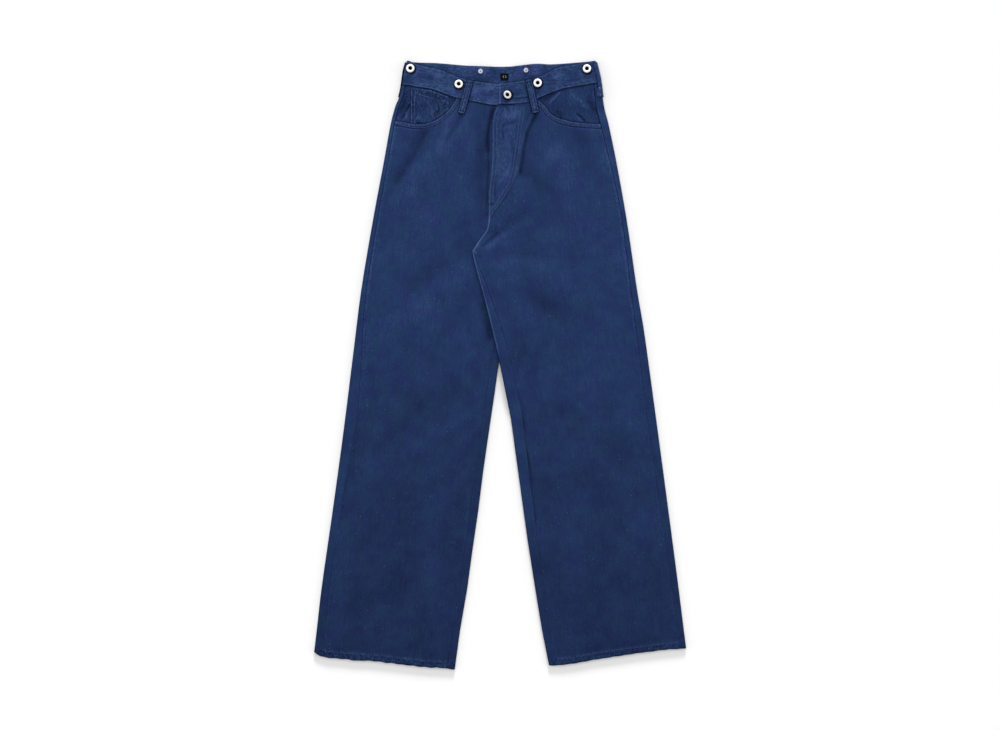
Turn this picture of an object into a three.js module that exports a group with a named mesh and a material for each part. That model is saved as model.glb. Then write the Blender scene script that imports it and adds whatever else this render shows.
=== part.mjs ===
import * as THREE from 'three';

// High-rise wide-leg trousers, laid flat with the front up.
// Millimetres. +X to the wearer's left, +Y to the waist, +Z up from the surface they lie on.

const CLOTH = 1.2;
const BAND_CLOTH = 2;
const FACING_CLOTH = 1;
const LOOP_CLOTH = 1.4;
const SEAM_GAP = 0.3;

// Height of a folded edge: the back panel's outer face is at 0 and its lip's outer face at this height.
const EDGE_HEIGHT = 4.4;
const BAND_HEIGHT = 5.4;
const EDGE_RADIUS = EDGE_HEIGHT / 2;
const BAND_RADIUS = BAND_HEIGHT / 2;

// The fronts end level at the closed fly, under the waistband.
const FLY_TOP = 453.9;
const CROTCH = { x: -49, y: 199.1 };
const GAP_TOP = { x: -1.8, y: 4.8 };

// The legs cross between the crotch and the top of the gap: the left leg lies on the right one.
const CROSSED_LEG_LIFT = EDGE_HEIGHT + SEAM_GAP;
const CROSSED_LEG_MARGIN = 12;
const CROSSED_LEG_FALL = 38;
const FLY_LIFT = CLOTH + SEAM_GAP;
const FLY_FALL = 14;
const BAND_FLY_LIFT = BAND_CLOTH + SEAM_GAP;
const POCKET_LIFT = 1.6;
const POCKET_FALL = 26;
const POCKET_MARGIN = 9;
const FACING_DIP = 1.3;

// Rounding of the front between its seams, and how fast it rises from them.
const PUFF = 2.6;
const PUFF_RISE = 42;

const BUTTON_RADIUS = 7.8;
const BUTTON_HEIGHT = 3.2;
const RIVET_RADIUS = 4.75;
const RIVET_HEIGHT = 1.2;
const LOOP_WIDTH = 12;
const LOOP_LENGTH = 61;

// Outlines. Each row is one place on the edge.
const OUTER_RIGHT = [
  { y: 532.4, x: -163.4 },
  { y: 515, x: -168.4 },
  { y: 484, x: -173 },
  { y: 467, x: -177.2 },
  { y: 452.8, x: -183.2 },
  { y: 424.8, x: -190.8 },
  { y: 358.3, x: -203 },
  { y: 253.3, x: -222.6 },
  { y: 130.8, x: -243.1 },
  { y: 25.8, x: -256.4 },
  { y: -114.2, x: -273.9 },
  { y: -254.2, x: -293 },
  { y: -394.2, x: -313 },
  { y: -464.2, x: -321 },
  { y: -503.6, x: -325.7 },
];
const OUTER_LEFT = [
  { y: 532.4, x: 167.6 },
  { y: 501.8, x: 175 },
  { y: 470, x: 179.4 },
  { y: 445.8, x: 183.6 },
  { y: 424.8, x: 189.3 },
  { y: 358.3, x: 203.3 },
  { y: 253.3, x: 222 },
  { y: 130.8, x: 240.2 },
  { y: 60.8, x: 252 },
  { y: -79.2, x: 271.4 },
  { y: -219.2, x: 290.2 },
  { y: -359.2, x: 308.7 },
  { y: -464.2, x: 322 },
  { y: -496.2, x: 326 },
];
// Centre-back seam down to the crotch, then the right leg's inner fold, hidden as far as the gap.
const INNER_RIGHT = [
  { y: 490, x: 9.35 },
  { y: 332, x: 7.5 },
  { y: 262, x: 1 },
  { y: 238, x: -9 },
  { y: 215, x: -28 },
  { y: 199.1, x: -49.15 },
  { y: 190, x: -28 },
  { y: 176, x: -9 },
  { y: 155, x: 4 },
  { y: 120, x: 11 },
  { y: 60, x: 8 },
  { y: 4.8, x: -1.8 },
  { y: -17.9, x: -5.2 },
  { y: -44.2, x: -8.7 },
  { y: -114.2, x: -19.1 },
  { y: -184.2, x: -29.2 },
  { y: -254.2, x: -38 },
  { y: -324.2, x: -48.2 },
  { y: -394.2, x: -57.8 },
  { y: -464.2, x: -70 },
  { y: -532.9, x: -79.2 },
];
const INNER_LEFT = [
  { y: 490, x: 9.65 },
  { y: 332, x: 7.8 },
  { y: 262, x: 1.3 },
  { y: 238, x: -8.7 },
  { y: 215, x: -27.7 },
  { y: 199.1, x: -48.85 },
  { y: 178.1, x: -44.8 },
  { y: 111.6, x: -26.3 },
  { y: 32.8, x: -7 },
  { y: -17.9, x: 3.5 },
  { y: -96.7, x: 19.3 },
  { y: -306.7, x: 48.2 },
  { y: -411.7, x: 64.8 },
  { y: -464.2, x: 73.5 },
  { y: -526.2, x: 85.8 },
];
// Edge of the wearer's left front: the closed fly, then the rise seam to the crotch.
const FLY_EDGE = [
  { y: 458, x: -4.6 },
  { y: 454, x: -4.9 },
  { y: 448, x: -7.2 },
  { y: 438.8, x: -10.5 },
  { y: 424, x: -13.6 },
  { y: 378, x: -13.6 },
  { y: 340.8, x: -15.4 },
  { y: 302.3, x: -20 },
  { y: 251.6, x: -20.3 },
  { y: 235.8, x: -23.6 },
  { y: 214.8, x: -38.5 },
  { y: 199.1, x: -48.85 },
];
// Hidden edge of the wearer's right front under the fly.
const FLY_UNDERLAP = [
  { y: 458, x: 30 },
  { y: 358.3, x: 22 },
  { y: 316.3, x: 14 },
  { y: 287.4, x: -3 },
  { y: 262, x: -13 },
  { y: 235.8, x: -20 },
  { y: 214.8, x: -37.5 },
  { y: 199.1, x: -49.6 },
];

// Widths of the lips that the backs bring round to the front, from the folded edge to the seam.
const LIP_OUTER_RIGHT = [
  { y: 500, width: 6 },
  { y: 360, width: 7 },
  { y: 100, width: 10 },
  { y: -80, width: 20 },
  { y: -214, width: 15 },
  { y: -530, width: 13 },
];
const LIP_OUTER_LEFT = [
  { y: 500, width: 12 },
  { y: 419, width: 14 },
  { y: 267, width: 8 },
  { y: -40, width: 15 },
  { y: -530, width: 10 },
];
const LIP_INNER_RIGHT = [
  { y: 192, width: 3.5 },
  { y: 120, width: 9 },
  { y: 0, width: 14 },
  { y: -530, width: 13 },
];
const LIP_INNER_LEFT = [
  { y: 192, width: 3.5 },
  { y: 120, width: 12 },
  { y: 0, width: 20 },
  { y: -250, width: 18 },
  { y: -530, width: 13 },
];

// Waist lines, from side to side.
const FRONT_BAND_TOP_RIGHT = [
  { x: -163.4, y: 531.5 },
  { x: -141.8, y: 525.1 },
  { x: -103.3, y: 516.2 },
  { x: -85.8, y: 509 },
  { x: -57.8, y: 499.2 },
  { x: -1.8, y: 491.3 },
  { x: 20, y: 490.6 },
];
const FRONT_BAND_BOTTOM_RIGHT = [
  { x: -173, y: 489 },
  { x: -160, y: 488.9 },
  { x: -145.3, y: 486.2 },
  { x: -120.8, y: 482.7 },
  { x: -85.8, y: 469.8 },
  { x: -56, y: 462.3 },
  { x: -15.8, y: 454.6 },
  { x: -5.5, y: 454 },
  { x: 7, y: 458 },
  { x: 20, y: 458 },
];
const FRONT_BAND_TOP_LEFT = [
  { x: -1.8, y: 491.3 },
  { x: 35, y: 496.6 },
  { x: 52.5, y: 500.1 },
  { x: 78.8, y: 509 },
  { x: 96.3, y: 518.8 },
  { x: 122.5, y: 524.6 },
  { x: 168, y: 531.5 },
];
const FRONT_BAND_BOTTOM_LEFT = [
  { x: -1.8, y: 456.7 },
  { x: 10.5, y: 455.6 },
  { x: 52.5, y: 460 },
  { x: 78.8, y: 471.5 },
  { x: 112, y: 483.1 },
  { x: 154, y: 490.6 },
  { x: 163, y: 492.3 },
  { x: 177, y: 492.4 },
];
const BACK_BAND_TOP = [
  { x: -163.4, y: 532.2 },
  { x: -154, y: 530 },
  { x: -110.3, y: 528.5 },
  { x: -56, y: 524 },
  { x: -15.8, y: 522.4 },
  { x: 21, y: 522.8 },
  { x: 66.5, y: 527.4 },
  { x: 89.3, y: 526.4 },
  { x: 145.3, y: 530.3 },
  { x: 168, y: 532.2 },
];
const BACK_BAND_BOTTOM = [
  { x: -173, y: 489 },
  { x: -110.3, y: 491 },
  { x: -56, y: 487.5 },
  { x: -15.8, y: 485.9 },
  { x: 21, y: 486.4 },
  { x: 66.5, y: 490.5 },
  { x: 145.3, y: 492.4 },
  { x: 177, y: 492.4 },
];
// Curved pocket openings, from the side seam up to the waistband.
const OPENING_RIGHT = [
  { x: -187, y: 427.4 },
  { x: -170.3, y: 425.2 },
  { x: -152.3, y: 421.5 },
  { x: -134.8, y: 421.5 },
  { x: -117.3, y: 426 },
  { x: -103.3, y: 434.1 },
  { x: -90, y: 445.8 },
  { x: -77.5, y: 463.5 },
];
const OPENING_LEFT = [
  { x: 67.6, y: 464 },
  { x: 80.5, y: 451 },
  { x: 89.3, y: 439.3 },
  { x: 101.5, y: 432.1 },
  { x: 126, y: 425.6 },
  { x: 148.8, y: 423 },
  { x: 182, y: 421 },
];
// Hem lines.
const HEM_RIGHT = [
  { x: -325.7, y: -503.6 },
  { x: -315, y: -509.5 },
  { x: -293, y: -513.6 },
  { x: -251, y: -517.4 },
  { x: -209, y: -520.1 },
  { x: -167, y: -525.6 },
  { x: -125, y: -529.6 },
  { x: -79.2, y: -532.9 },
];
const HEM_LEFT = [
  { x: 85.8, y: -526.2 },
  { x: 112.9, y: -525.4 },
  { x: 155, y: -518.2 },
  { x: 197, y: -511.5 },
  { x: 239, y: -505.4 },
  { x: 281, y: -500 },
  { x: 326, y: -496.2 },
];

// Soft folds in the fronts: a ridge where height is above 0, a trough where it is below.
const FOLDS_RIGHT = [
  { name: 'drag from the pocket', x1: -126, y1: 414, x2: -186, y2: 318, width: 15, height: -2.4 },
  { name: 'ridge beside the drag', x1: -98, y1: 404, x2: -160, y2: 300, width: 20, height: 1.6 },
  { name: 'groove beside the fly', x1: -30, y1: 446, x2: -36, y2: 288, width: 11, height: -2 },
  { name: 'rise towards the fly', x1: -58, y1: 430, x2: -62, y2: 270, width: 16, height: 1 },
  { name: 'crotch drag', x1: -62, y1: 196, x2: -150, y2: 132, width: 17, height: -1.8 },
  { name: 'thigh drag', x1: -60, y1: 160, x2: -196, y2: 60, width: 22, height: 1.7 },
  { name: 'inner thigh hollow', x1: -52, y1: 120, x2: -118, y2: 10, width: 19, height: -1.9 },
  { name: 'outer groove', x1: -222, y1: -60, x2: -256, y2: -205, width: 13, height: -1.8 },
  { name: 'knee hollow', x1: -92, y1: -60, x2: -200, y2: -150, width: 26, height: -1.6 },
  { name: 'knee ridge', x1: -110, y1: -120, x2: -226, y2: -190, width: 24, height: 1.4 },
  { name: 'calf fold', x1: -150, y1: -190, x2: -175, y2: -400, width: 28, height: -1.5 },
  { name: 'hem fold inner', x1: -118, y1: -360, x2: -110, y2: -505, width: 16, height: 1.5 },
  { name: 'hem fold outer', x1: -246, y1: -330, x2: -262, y2: -495, width: 20, height: -1.4 },
];
const FOLDS_LEFT = [
  { name: 'groove beside the fly stitching', x1: 60, y1: 437, x2: 40, y2: 330, width: 11, height: -2.2 },
  { name: 'ridge on the fly', x1: 22, y1: 430, x2: 6, y2: 300, width: 14, height: 0.9 },
  { name: 'hip ridge', x1: 84, y1: 410, x2: 92, y2: 285, width: 22, height: 1.3 },
  { name: 'drag from the pocket', x1: 128, y1: 412, x2: 172, y2: 316, width: 17, height: -1.8 },
  { name: 'crotch crease', x1: -12, y1: 222, x2: 44, y2: 262, width: 9, height: -1.6 },
  { name: 'lower crotch crease', x1: -8, y1: 192, x2: 70, y2: 188, width: 12, height: -1.5 },
  { name: 'thigh hollow', x1: 48, y1: 126, x2: 122, y2: 78, width: 24, height: -2.2 },
  { name: 'thigh ridge', x1: 62, y1: 170, x2: 170, y2: 96, width: 24, height: 1.6 },
  { name: 'inner thigh fold', x1: 30, y1: 40, x2: 74, y2: -90, width: 18, height: -1.6 },
  { name: 'outer leg ridge', x1: 214, y1: 60, x2: 226, y2: -110, width: 20, height: 1.4 },
  { name: 'knee hollow', x1: 110, y1: -90, x2: 210, y2: -160, width: 26, height: -1.7 },
  { name: 'calf fold', x1: 160, y1: -200, x2: 190, y2: -390, width: 28, height: -1.4 },
  { name: 'hem fold inner', x1: 128, y1: -370, x2: 120, y2: -500, width: 16, height: 1.4 },
  { name: 'hem fold outer', x1: 262, y1: -330, x2: 272, y2: -480, width: 18, height: -1.3 },
];

const FRONT_BUTTONS = [
  { name: 'button_front_1', side: 'right', x: -156.9, y: 518.6, tilt: 0 },
  { name: 'button_front_2', side: 'right', x: -72.3, y: 491.4, tilt: 0 },
  { name: 'button_fly', side: 'left', x: 13.3, y: 472.3, tilt: 0.6 },
  { name: 'button_front_3', side: 'left', x: 65.9, y: 493.1, tilt: 0 },
  { name: 'button_front_4', side: 'left', x: 152, y: 518.1, tilt: 0 },
];
const BACK_BUTTONS = [
  { side: 'right', x: -34.1, y: 513.5 },
  { side: 'left', x: 45.5, y: 515.5 },
];
const BACK_BUTTON_LIFT = BUTTON_HEIGHT + 2 * SEAM_GAP;
const BACK_BUTTON_MARGIN = 3;
const BACK_BUTTON_FALL = 19;

// The loops at the sides are folded round the edge: the right one shows only at the edge.
const SIDE_LOOP_TOP = 529.5;
const SIDE_LOOP_LIFT = LOOP_CLOTH + SEAM_GAP;
const SIDE_LOOP_INSET = 11;
const SIDE_LOOP_FALL = 14;
const FRONT_LOOPS = [
  { name: 'belt_loop_front_right', x1: -52.2, y1: 497.6, x2: -68.1, y2: 439.5 },
  { name: 'belt_loop_front_left', x1: 49.9, y1: 499, x2: 62.8, y2: 440.6 },
];
const LOOP_ARCH = 1.6;
// A loop stands on the band as far as this below the band's seam.
const LOOP_OVER_SEAM = 4;
const TAB = { x: 7.8, y: 504.3, width: 14.6, height: 12.7, thickness: 0.8 };
const COIN_CLOTH = 0.9;
const COIN_GAP = 0.5;
const COIN_REACH_UNDER = 4;
const COIN_LEFT = -156.5;
const COIN_RIGHT = -89;
const COIN_BELOW_BAND = 1.8;

// Rounded tops start this far beyond the waist seam and the hem.
const RISE_AT_WAIST = 8;
const RISE_AT_HEM = 10;
// The right front stays flat this far beside the fly edge.
const FLY_FLAT = 6;
const FLY_MARGIN = 1.5;
const HEM_WIDTH = 12;
const HEM_LIFT = 0.8;
const HEM_FALL = 3;
const FOLD_GAP = 0.3;
const BAND_TOP_AT_SIDE = 532;
const UNWRAPPED_END = 3;

const { clamp, lerp, degToRad } = THREE.MathUtils;

function ease(t) {
  const s = clamp(t, 0, 1);
  return s * s * (3 - 2 * s);
}

// 1 inside a form, easing to 0 over the given distance outside it.
function nearness(distance, fall) {
  return ease(1 - distance / fall);
}

// Reads a table along one column and gives the other, straight from row to row.
function followStraight(table, along, wanted) {
  const rows = [...table].sort((a, b) => a[along] - b[along]);
  return (place) => {
    const at = clamp(place, rows[0][along], rows[rows.length - 1][along]);
    let i = 0;
    while (i < rows.length - 2 && at > rows[i + 1][along]) i += 1;
    const t = (at - rows[i][along]) / (rows[i + 1][along] - rows[i][along]);
    return lerp(rows[i][wanted], rows[i + 1][wanted], t);
  };
}

// The same with a smooth curve through the rows.
function follow(table, along, wanted) {
  const rows = [...table].sort((a, b) => a[along] - b[along]);
  const slopes = rows.map((row, i) => {
    const before = rows[Math.max(i - 1, 0)];
    const after = rows[Math.min(i + 1, rows.length - 1)];
    return (after[wanted] - before[wanted]) / (after[along] - before[along]);
  });
  return (place) => {
    const at = clamp(place, rows[0][along], rows[rows.length - 1][along]);
    let i = 0;
    while (i < rows.length - 2 && at > rows[i + 1][along]) i += 1;
    const span = rows[i + 1][along] - rows[i][along];
    const t = (at - rows[i][along]) / span;
    const startShare = 2 * t ** 3 - 3 * t ** 2 + 1;
    const startPull = (t ** 3 - 2 * t ** 2 + t) * span * slopes[i];
    const endPull = (t ** 3 - t ** 2) * span * slopes[i + 1];
    return startShare * rows[i][wanted] + startPull + (1 - startShare) * rows[i + 1][wanted] + endPull;
  };
}

function distanceToSegment(x, y, x1, y1, x2, y2) {
  const dx = x2 - x1;
  const dy = y2 - y1;
  const t = clamp(((x - x1) * dx + (y - y1) * dy) / (dx * dx + dy * dy), 0, 1);
  return Math.hypot(x - x1 - t * dx, y - y1 - t * dy);
}

function distanceToRoute(route, x, y) {
  let nearest = Infinity;
  for (let i = 0; i + 1 < route.length; i += 1) {
    const a = route[i];
    const b = route[i + 1];
    nearest = Math.min(nearest, distanceToSegment(x, y, a.x, a.y, b.x, b.y));
  }
  return nearest;
}

const flyEdge = followStraight(FLY_EDGE, 'y', 'x');
const flyUnderlap = followStraight(FLY_UNDERLAP, 'y', 'x');
const backBandTop = follow(BACK_BAND_TOP, 'x', 'y');
const backBandBottom = follow(BACK_BAND_BOTTOM, 'x', 'y');

// Each side's edges, as functions of the height or of the place across.
// Inward is the sign of X from the outer edge toward the middle.
const SIDES = {
  right: {
    inward: 1,
    outerEdge: follow(OUTER_RIGHT, 'y', 'x'),
    innerEdge: followStraight(INNER_RIGHT, 'y', 'x'),
    lipOuter: follow(LIP_OUTER_RIGHT, 'y', 'width'),
    lipInner: follow(LIP_INNER_RIGHT, 'y', 'width'),
    frontBandTop: follow(FRONT_BAND_TOP_RIGHT, 'x', 'y'),
    frontBandBottom: followStraight(FRONT_BAND_BOTTOM_RIGHT, 'x', 'y'),
    opening: followStraight(OPENING_RIGHT, 'x', 'y'),
    openingRoute: OPENING_RIGHT,
    openingCorner: OPENING_RIGHT[OPENING_RIGHT.length - 1],
    openingSide: 427,
    hemLine: follow(HEM_RIGHT, 'x', 'y'),
    outerHem: -503.6,
    innerHem: -532.9,
    folds: FOLDS_RIGHT,
    frontInner: flyUnderlap,
    frontInnerTop: 30,
    flatTopFrom: -12,
    bandSideBottom: 489,
    bandFrontEnd: 20,
    bandFrontColumn: -5.5,
    bandBackEnd: 9.35,
    pocketRow: 422,
    facingInner: -76,
    sideLoop: { reach: 9, angles: [90, 120, 150, 180] },
  },
  left: {
    inward: -1,
    outerEdge: follow(OUTER_LEFT, 'y', 'x'),
    innerEdge: followStraight(INNER_LEFT, 'y', 'x'),
    lipOuter: follow(LIP_OUTER_LEFT, 'y', 'width'),
    lipInner: follow(LIP_INNER_LEFT, 'y', 'width'),
    frontBandTop: follow(FRONT_BAND_TOP_LEFT, 'x', 'y'),
    frontBandBottom: follow(FRONT_BAND_BOTTOM_LEFT, 'x', 'y'),
    opening: followStraight(OPENING_LEFT, 'x', 'y'),
    openingRoute: OPENING_LEFT,
    openingCorner: OPENING_LEFT[0],
    openingSide: 421,
    hemLine: follow(HEM_LEFT, 'x', 'y'),
    outerHem: -496.2,
    innerHem: -526.2,
    folds: FOLDS_LEFT,
    frontInner: flyEdge,
    frontInnerTop: -4.6,
    flatTopFrom: -2,
    bandSideBottom: 492.4,
    bandFrontEnd: -1.8,
    bandFrontColumn: 10,
    bandBackEnd: 9.65,
    pocketRow: 411,
    facingInner: 66,
    sideLoop: { reach: 6, angles: [0, 30, 60, 90, 120, 150, 180] },
  },
};

const CROSSING_ROUTE = INNER_RIGHT.filter((row) => row.y <= CROTCH.y && row.y >= -100);

// How far the layers are raised at a place by what lies under them.
function liftOverRightLeg(x, y) {
  const covered = y <= CROTCH.y && x <= SIDES.right.innerEdge(y);
  const distance = covered ? 0 : distanceToRoute(CROSSING_ROUTE, x, y);
  return CROSSED_LEG_LIFT * nearness(distance - CROSSED_LEG_MARGIN, CROSSED_LEG_FALL);
}

function liftOverBackButtons(x, y) {
  return BACK_BUTTONS.reduce((lift, button) => {
    const distance = Math.hypot(x - button.x, y - button.y) - BUTTON_RADIUS - BACK_BUTTON_MARGIN;
    return Math.max(lift, BACK_BUTTON_LIFT * nearness(distance, BACK_BUTTON_FALL));
  }, 0);
}

function liftOverSideLoops(x, y) {
  const { inward, outerEdge } = x < 0 ? SIDES.right : SIDES.left;
  const inset = (x - outerEdge(y)) * inward;
  const below = SIDE_LOOP_TOP - LOOP_LENGTH - SIDE_LOOP_INSET - y;
  const distance = Math.hypot(Math.max(inset - SIDE_LOOP_INSET, 0), Math.max(below, 0));
  return SIDE_LOOP_LIFT * nearness(distance, SIDE_LOOP_FALL);
}

function floorLift(x, y) {
  return Math.max(liftOverBackButtons(x, y), liftOverSideLoops(x, y));
}

// The turned hem is a little thicker than the leg above it.
function hemLift(side, x, y) {
  return HEM_LIFT * nearness(y - SIDES[side].hemLine(x) - HEM_WIDTH, HEM_FALL);
}

function foldHeight(folds, x, y) {
  return folds.reduce((sum, fold) => {
    const distance = distanceToSegment(x, y, fold.x1, fold.y1, fold.x2, fold.y2);
    return sum + fold.height * Math.exp(-((distance / fold.width) ** 2));
  }, 0);
}

// Upper line of a front: the pocket opening, then the waistband seam, level beside the fly.
function frontTopLine(side, x) {
  const { inward, opening, openingCorner, frontBandBottom, flatTopFrom } = SIDES[side];
  if ((openingCorner.x - x) * inward > 0) return opening(x);
  const level = side === 'right' ? x > flatTopFrom : x < flatTopFrom;
  return (level ? FLY_TOP : frontBandBottom(x)) - SEAM_GAP;
}

// Distance from a front's inner seam, or from the fly above the crotch.
function insetFromInner(side, x, y) {
  const { innerEdge, lipInner } = SIDES[side];
  if (side === 'left') return y > CROTCH.y ? x - flyEdge(y) : x - innerEdge(y) - lipInner(y);
  if (y > CROTCH.y) return flyEdge(y) - FLY_FLAT - x;
  return Math.min(innerEdge(y) - lipInner(y), SIDES.left.innerEdge(y)) - x;
}

// Top face of each front, worked out from what lies under it and its folds.
function frontTop(side, x, y) {
  const { inward, outerEdge, lipOuter, openingRoute, hemLine, folds } = SIDES[side];
  const insets = [
    (x - outerEdge(y)) * inward - lipOuter(y),
    insetFromInner(side, x, y),
    Math.max(frontTopLine(side, x) - y, 0) + RISE_AT_WAIST,
    Math.max(y - hemLine(x), 0) + RISE_AT_HEM,
  ];
  const rise = Math.min(...insets.map((inset) => ease(inset / PUFF_RISE)));
  const pocketDistance = distanceToRoute(openingRoute, x, y) - POCKET_MARGIN;
  const pocket = POCKET_LIFT * nearness(pocketDistance, POCKET_FALL);
  let under = 0;
  if (side === 'left') {
    const lap = y > CROTCH.y ? FLY_LIFT * nearness(x - flyUnderlap(y) - FLY_MARGIN, FLY_FALL) : 0;
    under = Math.max(lap, liftOverRightLeg(x, y));
  }
  const raised = floorLift(x, y) + under + pocket + hemLift(side, x, y);
  return EDGE_HEIGHT + raised + rise * Math.max(PUFF + foldHeight(folds, x, y), 0);
}

// Top face of the waistband's front; the left end lies on the right one.
function bandTop(side, x, y) {
  const beyond = x - SIDES.right.bandFrontEnd - FLY_MARGIN;
  const lap = side === 'left' ? BAND_FLY_LIFT * nearness(beyond, FLY_FALL) : 0;
  return BAND_HEIGHT + floorLift(x, y) + lap;
}

function backBandInside(x, y) {
  return BAND_CLOTH + floorLift(x, y);
}

function facingTop(side, x, y) {
  const distance = distanceToRoute(SIDES[side].openingRoute, x, y) - POCKET_MARGIN;
  return EDGE_HEIGHT + floorLift(x, y) - FACING_DIP * nearness(distance, POCKET_FALL);
}

// Turns the faces outward by the sign of the volume they close.
function closedGeometry(points, faces) {
  const volume = faces.reduce((sum, [a, b, c]) => {
    const cross = new THREE.Vector3().crossVectors(points[b], points[c]);
    return sum + points[a].dot(cross);
  }, 0);
  const facing = volume > 0 ? faces : faces.map(([a, b, c]) => [a, c, b]);
  const positions = points.flatMap((point) => [point.x, point.y, point.z]);
  const geometry = new THREE.BufferGeometry();
  geometry.setAttribute('position', new THREE.Float32BufferAttribute(positions, 3));
  geometry.setIndex(facing.flat());
  geometry.computeVertexNormals();
  return geometry;
}

// A closed wall between two grids of points with the same rows and columns.
function wall(outside, inside) {
  const rows = outside.length;
  const columns = outside[0].length;
  const points = [...outside.flat(), ...inside.flat()];
  const faces = [];
  const at = (layer, i, j) => layer * rows * columns + i * columns + j;
  const quad = (a, b, c, d) => faces.push([a, b, c], [a, c, d]);
  for (let i = 0; i + 1 < rows; i += 1) {
    for (let j = 0; j + 1 < columns; j += 1) {
      quad(at(0, i, j), at(0, i + 1, j), at(0, i + 1, j + 1), at(0, i, j + 1));
      quad(at(1, i, j), at(1, i, j + 1), at(1, i + 1, j + 1), at(1, i + 1, j));
    }
  }
  const rim = [];
  for (let j = 0; j < columns; j += 1) rim.push([0, j]);
  for (let i = 1; i < rows; i += 1) rim.push([i, columns - 1]);
  for (let j = columns - 2; j >= 0; j -= 1) rim.push([rows - 1, j]);
  for (let i = rows - 2; i >= 1; i -= 1) rim.push([i, 0]);
  rim.forEach(([i, j], k) => {
    const [p, q] = rim[(k + 1) % rim.length];
    quad(at(0, i, j), at(0, p, q), at(1, p, q), at(1, i, j));
  });
  return closedGeometry(points, faces);
}

// A wall whose inside lies straight below its outside.
function wallBelow(outside, cloth) {
  const below = ({ x, y, z }) => new THREE.Vector3(x, y, z - cloth);
  return wall(outside, outside.map((row) => row.map(below)));
}

// Numbers from 0 to 1 with the given count of steps in each stretch.
function stretches(list) {
  const values = [0];
  list.forEach(({ to, steps }) => {
    const from = values[values.length - 1];
    for (let k = 1; k <= steps; k += 1) values.push(lerp(from, to, k / steps));
  });
  return values;
}

// Heights of the rows along the inner edge, the same on both legs so that their seams meet.
const ROW_HEIGHTS = [
  477, 466, 448, 385, 350, 320, 290, 262, 238, 215, CROTCH.y, 190, 176, 155, 120, 60, GAP_TOP.y,
  -18, -75, -140, -210, -280, -350, -410, -460, -500,
];
// Rows that follow the hem: where its step starts and ends.
const HEM_ROWS = [0.984, 0.989];

// A leg laid flat: rows run from the waist at 0 to the hem at 1.
function legForm(side) {
  const { outerEdge, innerEdge, bandSideBottom, outerHem, innerHem, hemLine, pocketRow } = SIDES[side];
  const outerTop = bandSideBottom - SEAM_GAP;
  const innerTop = backBandBottom(0) - SEAM_GAP;
  const rowAt = (height) => (innerTop - height) / (innerTop - innerHem);
  const topEnds = [outerEdge(outerTop), innerEdge(innerTop)];
  const hemEnds = [outerEdge(outerHem), innerEdge(innerHem)];
  // Place in a row: across runs from 0 at the outer edge to 1 at the inner one.
  const place = (across, row) => {
    const y1 = lerp(outerTop, outerHem, row);
    const y2 = lerp(innerTop, innerHem, row);
    const topLine = backBandBottom(lerp(...topEnds, across)) - SEAM_GAP;
    const topBow = topLine - lerp(outerTop, innerTop, across);
    const hemBow = hemLine(lerp(...hemEnds, across)) - lerp(outerHem, innerHem, across);
    return {
      x: lerp(outerEdge(y1), innerEdge(y2), across),
      y: lerp(y1, y2, across) + topBow * (1 - row) ** 4 + hemBow * row ** 6,
    };
  };
  const heights = [...ROW_HEIGHTS, pocketRow].sort((a, b) => b - a);
  return {
    place,
    pocketRow: rowAt(pocketRow),
    crotchRow: rowAt(CROTCH.y),
    rows: [0, ...heights.map(rowAt), ...HEM_ROWS, 1],
  };
}

// One row's width and the lips at its two ends; above the crotch the inner end stays on the floor.
function rowSizes(side, form, row) {
  const start = form.place(0, row);
  const end = form.place(1, row);
  const wrapped = row > form.crotchRow + 0.001;
  return {
    width: Math.hypot(end.x - start.x, end.y - start.y),
    lipOuter: SIDES[side].lipOuter(start.y),
    lipInner: wrapped ? SIDES[side].lipInner(end.y) : UNWRAPPED_END,
    wrapped,
  };
}

// Section of a back panel: lip, folded edge, floor, folded edge and lip, as inset, height and turn.
function backSection({ width, lipOuter, lipInner, wrapped }) {
  const r = EDGE_RADIUS;
  const section = [{ inset: lipOuter, height: EDGE_HEIGHT, turn: -Math.PI }];
  for (const angle of [0, 60, 120, 180]) {
    const turn = degToRad(angle) - Math.PI;
    section.push({ inset: r + r * Math.sin(turn), height: r - r * Math.cos(turn), turn });
  }
  const arcLength = Math.PI * r;
  const wrapLength = arcLength + lipInner - r;
  const floorEnd = wrapped ? width - r : width - wrapLength;
  const floorSteps = 7;
  for (let k = 0; k <= floorSteps; k += 1) {
    section.push({ inset: lerp(SIDE_LOOP_INSET, floorEnd, k / floorSteps), height: 0, turn: 0 });
  }
  for (const length of [arcLength / 3, (arcLength * 2) / 3, arcLength, wrapLength]) {
    const turn = wrapped ? Math.min(length / r, Math.PI) : 0;
    const rest = length - turn * r;
    section.push({
      inset: floorEnd + r * Math.sin(turn) + rest * Math.cos(turn),
      height: r - r * Math.cos(turn),
      turn,
    });
  }
  return section;
}

function backPanel(side) {
  const form = legForm(side);
  const outside = [];
  const inside = [];
  form.rows.forEach((row) => {
    const sizes = rowSizes(side, form, row);
    const outsideRow = [];
    const insideRow = [];
    backSection(sizes).forEach(({ inset, height, turn }) => {
      const { x, y } = form.place(inset / sizes.width, row);
      const inner = form.place((inset - CLOTH * Math.sin(turn)) / sizes.width, row);
      const over = side === 'left' ? liftOverRightLeg(x, y) : 0;
      const hem = (hemLift(side, x, y) * height) / EDGE_HEIGHT;
      const z = height + Math.max(floorLift(x, y), over) + hem;
      outsideRow.push(new THREE.Vector3(x, y, z));
      insideRow.push(new THREE.Vector3(inner.x, inner.y, z + CLOTH * Math.cos(turn)));
    });
    outside.push(outsideRow);
    inside.push(insideRow);
  });
  return wall(outside, inside);
}

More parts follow.
